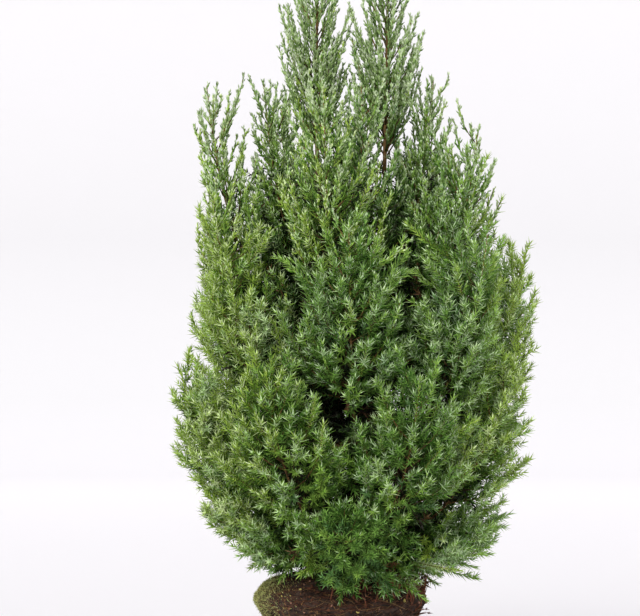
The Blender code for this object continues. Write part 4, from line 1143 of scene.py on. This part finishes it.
BRUSH, BRUSH_TURN, BRUSH_SPREAD, BRUSH_DOWN = 460, -0.40, 0.45, (0.20, 0.42)
BRUSH_LENGTHS, BRUSH_NEEDLES, BRUSH_OVERHANG = (0.010, 0.034), 1, 0.004
BRUSH_SUNK, BRUSH_LEAN, BRUSH_OUT, BRUSH_UP, BRUSH_BENT = 0.0005, 0.5, 0.3, 0.7, 0.006
dead_stems = [
    bezier(plan.bend, np.linspace(0, DEAD_STEM_SHARE, 6)) for plan in plans if plan.tier != "leader"
]
feet, ways = [], []
for path in [path for path, _ in limbs] + dead_stems:
    count = int(DEAD_TO_THE_METRE * np.linalg.norm(path[-1] - path[0]))
    share = rng.uniform(*DEAD_ALONG, count) * (len(path) - 1)
    stretch_of = np.minimum(share.astype(int), len(path) - 2)
    step = path[stretch_of + 1] - path[stretch_of]
    feet.append(path[stretch_of] + (share - stretch_of)[:, None] * step)
    ways.append(unit(step))
foot, way = np.concatenate(feet), np.concatenate(ways)
spread = rng.normal(size=foot.shape)
spread = unit(spread - DEAD_OUT * (spread * way).sum(1, keepdims=True) * way + [0, 0, DEAD_UP])
length = rng.uniform(*DEAD_LENGTHS, (len(foot), 1))
knee = foot + 0.5 * length * spread
on = unit(spread + rng.normal(0, DEAD_KNEE, foot.shape) + [0, 0, DEAD_KNEE_UP])
tip = knee + 0.5 * length * on
kept = in_crown(tip, DEAD_EDGE) & (over_ball(tip) > BALL_MARGIN) & (tip[:, 2] < DEAD_TO_Z)
share, turn = rng.uniform(*BRUSH_DOWN, BRUSH), BRUSH_TURN + BRUSH_SPREAD * rng.normal(0, 1, BRUSH)
brush_foot, out = on_ball(share, turn, np.full(BRUSH, -BRUSH_SUNK))
brush_way = unit(rng.normal(0, BRUSH_LEAN, (BRUSH, 3)) + BRUSH_OUT * out + [0, 0, BRUSH_UP])
brush_knee = brush_foot + rng.uniform(*BRUSH_LENGTHS, (BRUSH, 1)) / 2 * brush_way
brush_tip = 2 * brush_knee - brush_foot + rng.normal(0, BRUSH_BENT, (BRUSH, 3))
over_mound = np.hypot(brush_tip[:, 0], brush_tip[:, 1]) < BALL_BULGE_R + BRUSH_OVERHANG
brush = np.stack([brush_foot, brush_knee, brush_tip], 1)[(over_ball(brush_tip) > BALL_MARGIN) & over_mound]
dead = np.concatenate([np.stack([foot, knee, tip], 1)[kept], brush])
in_brush = np.arange(len(dead)) >= kept.sum()
corners = tubes(points_on(dead, (0, 0.5, 1)), np.broadcast_to(DEAD_RADII, (len(dead), 3)), DEAD_SIDES)
dead_bark = [
    mottled("dead_bark_dark", (36, 28, 20), 0.9),
    mottled("dead_bark_brown", (62, 46, 32), 0.9),
    mottled("dead_bark_red", (122, 74, 54), 0.85),
]
slots = np.where(in_brush, 2, rng.choice(2, len(dead)))[:, None]
dead_wood = new_piece("dead_twigs", corners, turned_faces(3, DEAD_SIDES), dead_bark, slots, smooth=True)
on_dead, number = counted(np.where(in_brush, BRUSH_NEEDLES, DEAD_NEEDLES))
share = rng.uniform(DEAD_LEAVES_FROM, 1.0, len(number))
foot, way = place_and_way(dead[on_dead], share)
needle_way = unit(way + rng.normal(0, DEAD_LEAF_SPREAD, way.shape))
length = NEEDLE_LENGTH * rng.uniform(*DEAD_LEAF_LENGTHS, (len(number), 1))
corners = awls(foot, foot + length * needle_way, DEAD_NEEDLE_WIDTH, way + OFF_AXIS)
# The near-black and dark green needles are painted shade of the crown's inside; the brown ones are dry.
dead_leaves = [
    mottled("dead_needle_dark", (36, 34, 20)),
    mottled("dead_needle_brown", (92, 66, 44)),
    mottled("dead_needle_green", (34, 50, 22)),
]
tones = rng.choice(len(dead_leaves), len(dead), p=DEAD_LEAF_TONE_SHARES)
slots = np.where(in_brush, 1, tones)[on_dead][:, None]
dead_needles = new_piece("dead_needles", corners, AWL_FACES, dead_leaves, slots)

# Studio
# A pale floor that curves up into a wall behind the plant, one large soft light from the upper left, and an
# even light from all round.
FLOOR_HALF_WIDTH, FLOOR_FRONT, WALL_Y, WALL_TOP, WALL_BEND_R = 7.0, -4.5, 5.0, 6.0, 2.0
FLOOR_TINTS = {
    0.00: (0.908, 0.892, 0.926),
    0.03: (0.822, 0.810, 0.844),
    0.20: (0.756, 0.750, 0.774),
    0.65: (0.678, 0.672, 0.694),
    1.41: (0.736, 0.728, 0.750),
}
SKY_TINTS = {0.17: (0.92, 0.91, 0.94), 0.42: (0.34, 0.344, 0.351)}
KEY_FROM, KEY_STRENGTH, KEY_SOFTNESS_DEG, KEY_COLOUR = (0.26, 0.68, -0.68), 2.5, 38, (1.0, 0.985, 0.96)


def tint_by_height(tree, coordinate, tints, whole, socket):
    """Colours a socket by height: tints gives a colour for each height, up to whole."""
    nodes, links = tree.nodes, tree.links
    place, shrink = nodes.new("ShaderNodeTexCoord"), nodes.new("ShaderNodeMapping")
    height, ramp = nodes.new("ShaderNodeSeparateXYZ"), nodes.new("ShaderNodeValToRGB")
    shrink.inputs["Scale"].default_value = (1, 1, 1 / whole)
    stops = ramp.color_ramp.elements
    stops.remove(stops[1])
    for number, (at, tint) in enumerate(tints.items()):
        stop = stops.new(at / whole) if number else stops[0]
        stop.position = at / whole
        stop.color = (*tint, 1)
    links.new(place.outputs[coordinate], shrink.inputs["Vector"])
    links.new(shrink.outputs["Vector"], height.inputs["Vector"])
    links.new(height.outputs["Z"], ramp.inputs["Fac"])
    links.new(ramp.outputs["Color"], socket)


turn = np.linspace(0, math.pi / 2, 25)
section = np.concatenate([
    [(FLOOR_FRONT, 0)],
    np.stack([WALL_Y - WALL_BEND_R + WALL_BEND_R * np.sin(turn), WALL_BEND_R * (1 - np.cos(turn))], 1),
    [(WALL_Y, WALL_TOP)],
])
places = [(x, y, z) for x in (-FLOOR_HALF_WIDTH, FLOOR_HALF_WIDTH) for y, z in section]
strip = [(i, i + len(section), i + len(section) + 1, i + 1) for i in range(len(section) - 1)]
floor_mesh = bpy.data.meshes.new("floor")
floor_mesh.from_pydata(places, [], strip)
floor_mesh.shade_smooth()
pale = bpy.data.materials.new("pale_floor")
pale.use_nodes = True
shader = pale.node_tree.nodes["Principled BSDF"]
shader.inputs["Roughness"].default_value = 0.9
tint_by_height(pale.node_tree, "Object", FLOOR_TINTS, WALL_BEND_R, shader.inputs["Base Color"])
floor_mesh.materials.append(pale)
floor = bpy.data.objects.new("floor", floor_mesh)
bpy.context.scene.collection.objects.link(floor)
world = bpy.data.worlds.new("studio")
world.use_nodes = True
sky = world.node_tree.nodes["Background"].inputs["Color"]
tint_by_height(world.node_tree, "Generated", SKY_TINTS, 1.0, sky)
bpy.context.scene.world = world
bpy.context.scene.view_settings.view_transform = "Standard"
key = bpy.data.lights.new("key", "SUN")
key.energy = KEY_STRENGTH
key.angle = math.radians(KEY_SOFTNESS_DEG)
key.color = KEY_COLOUR
key_light = bpy.data.objects.new("key", key)
key_light.rotation_euler = Vector(KEY_FROM).to_track_quat("-Z", "Y").to_euler()
bpy.context.scene.collection.objects.link(key_light)

# Camera
# It stands level in front of the plant, far enough away for a long lens, and sees the ball's top and the
# crown up to the leaders' upper parts.
METRES_A_PIXEL = 0.00106
PICTURE_WIDTH, PICTURE_HEIGHT = 640, 616
AXIS_X_PX, GROUND_Z, GROUND_Y_PX = 340, 0.150, 588
CAMERA_AWAY, SENSOR_WIDTH = 2.5, 36
camera = bpy.data.cameras.new("camera")
camera.sensor_width = SENSOR_WIDTH
camera.lens = SENSOR_WIDTH * CAMERA_AWAY / (PICTURE_WIDTH * METRES_A_PIXEL)
eye = bpy.data.objects.new("camera", camera)
eye.location = (
    (PICTURE_WIDTH / 2 - AXIS_X_PX) * METRES_A_PIXEL,
    -CAMERA_AWAY,
    GROUND_Z + (GROUND_Y_PX - PICTURE_HEIGHT / 2) * METRES_A_PIXEL,
)
eye.rotation_euler = (math.pi / 2, 0, 0)
bpy.context.scene.collection.objects.link(eye)
bpy.context.scene.camera = eye
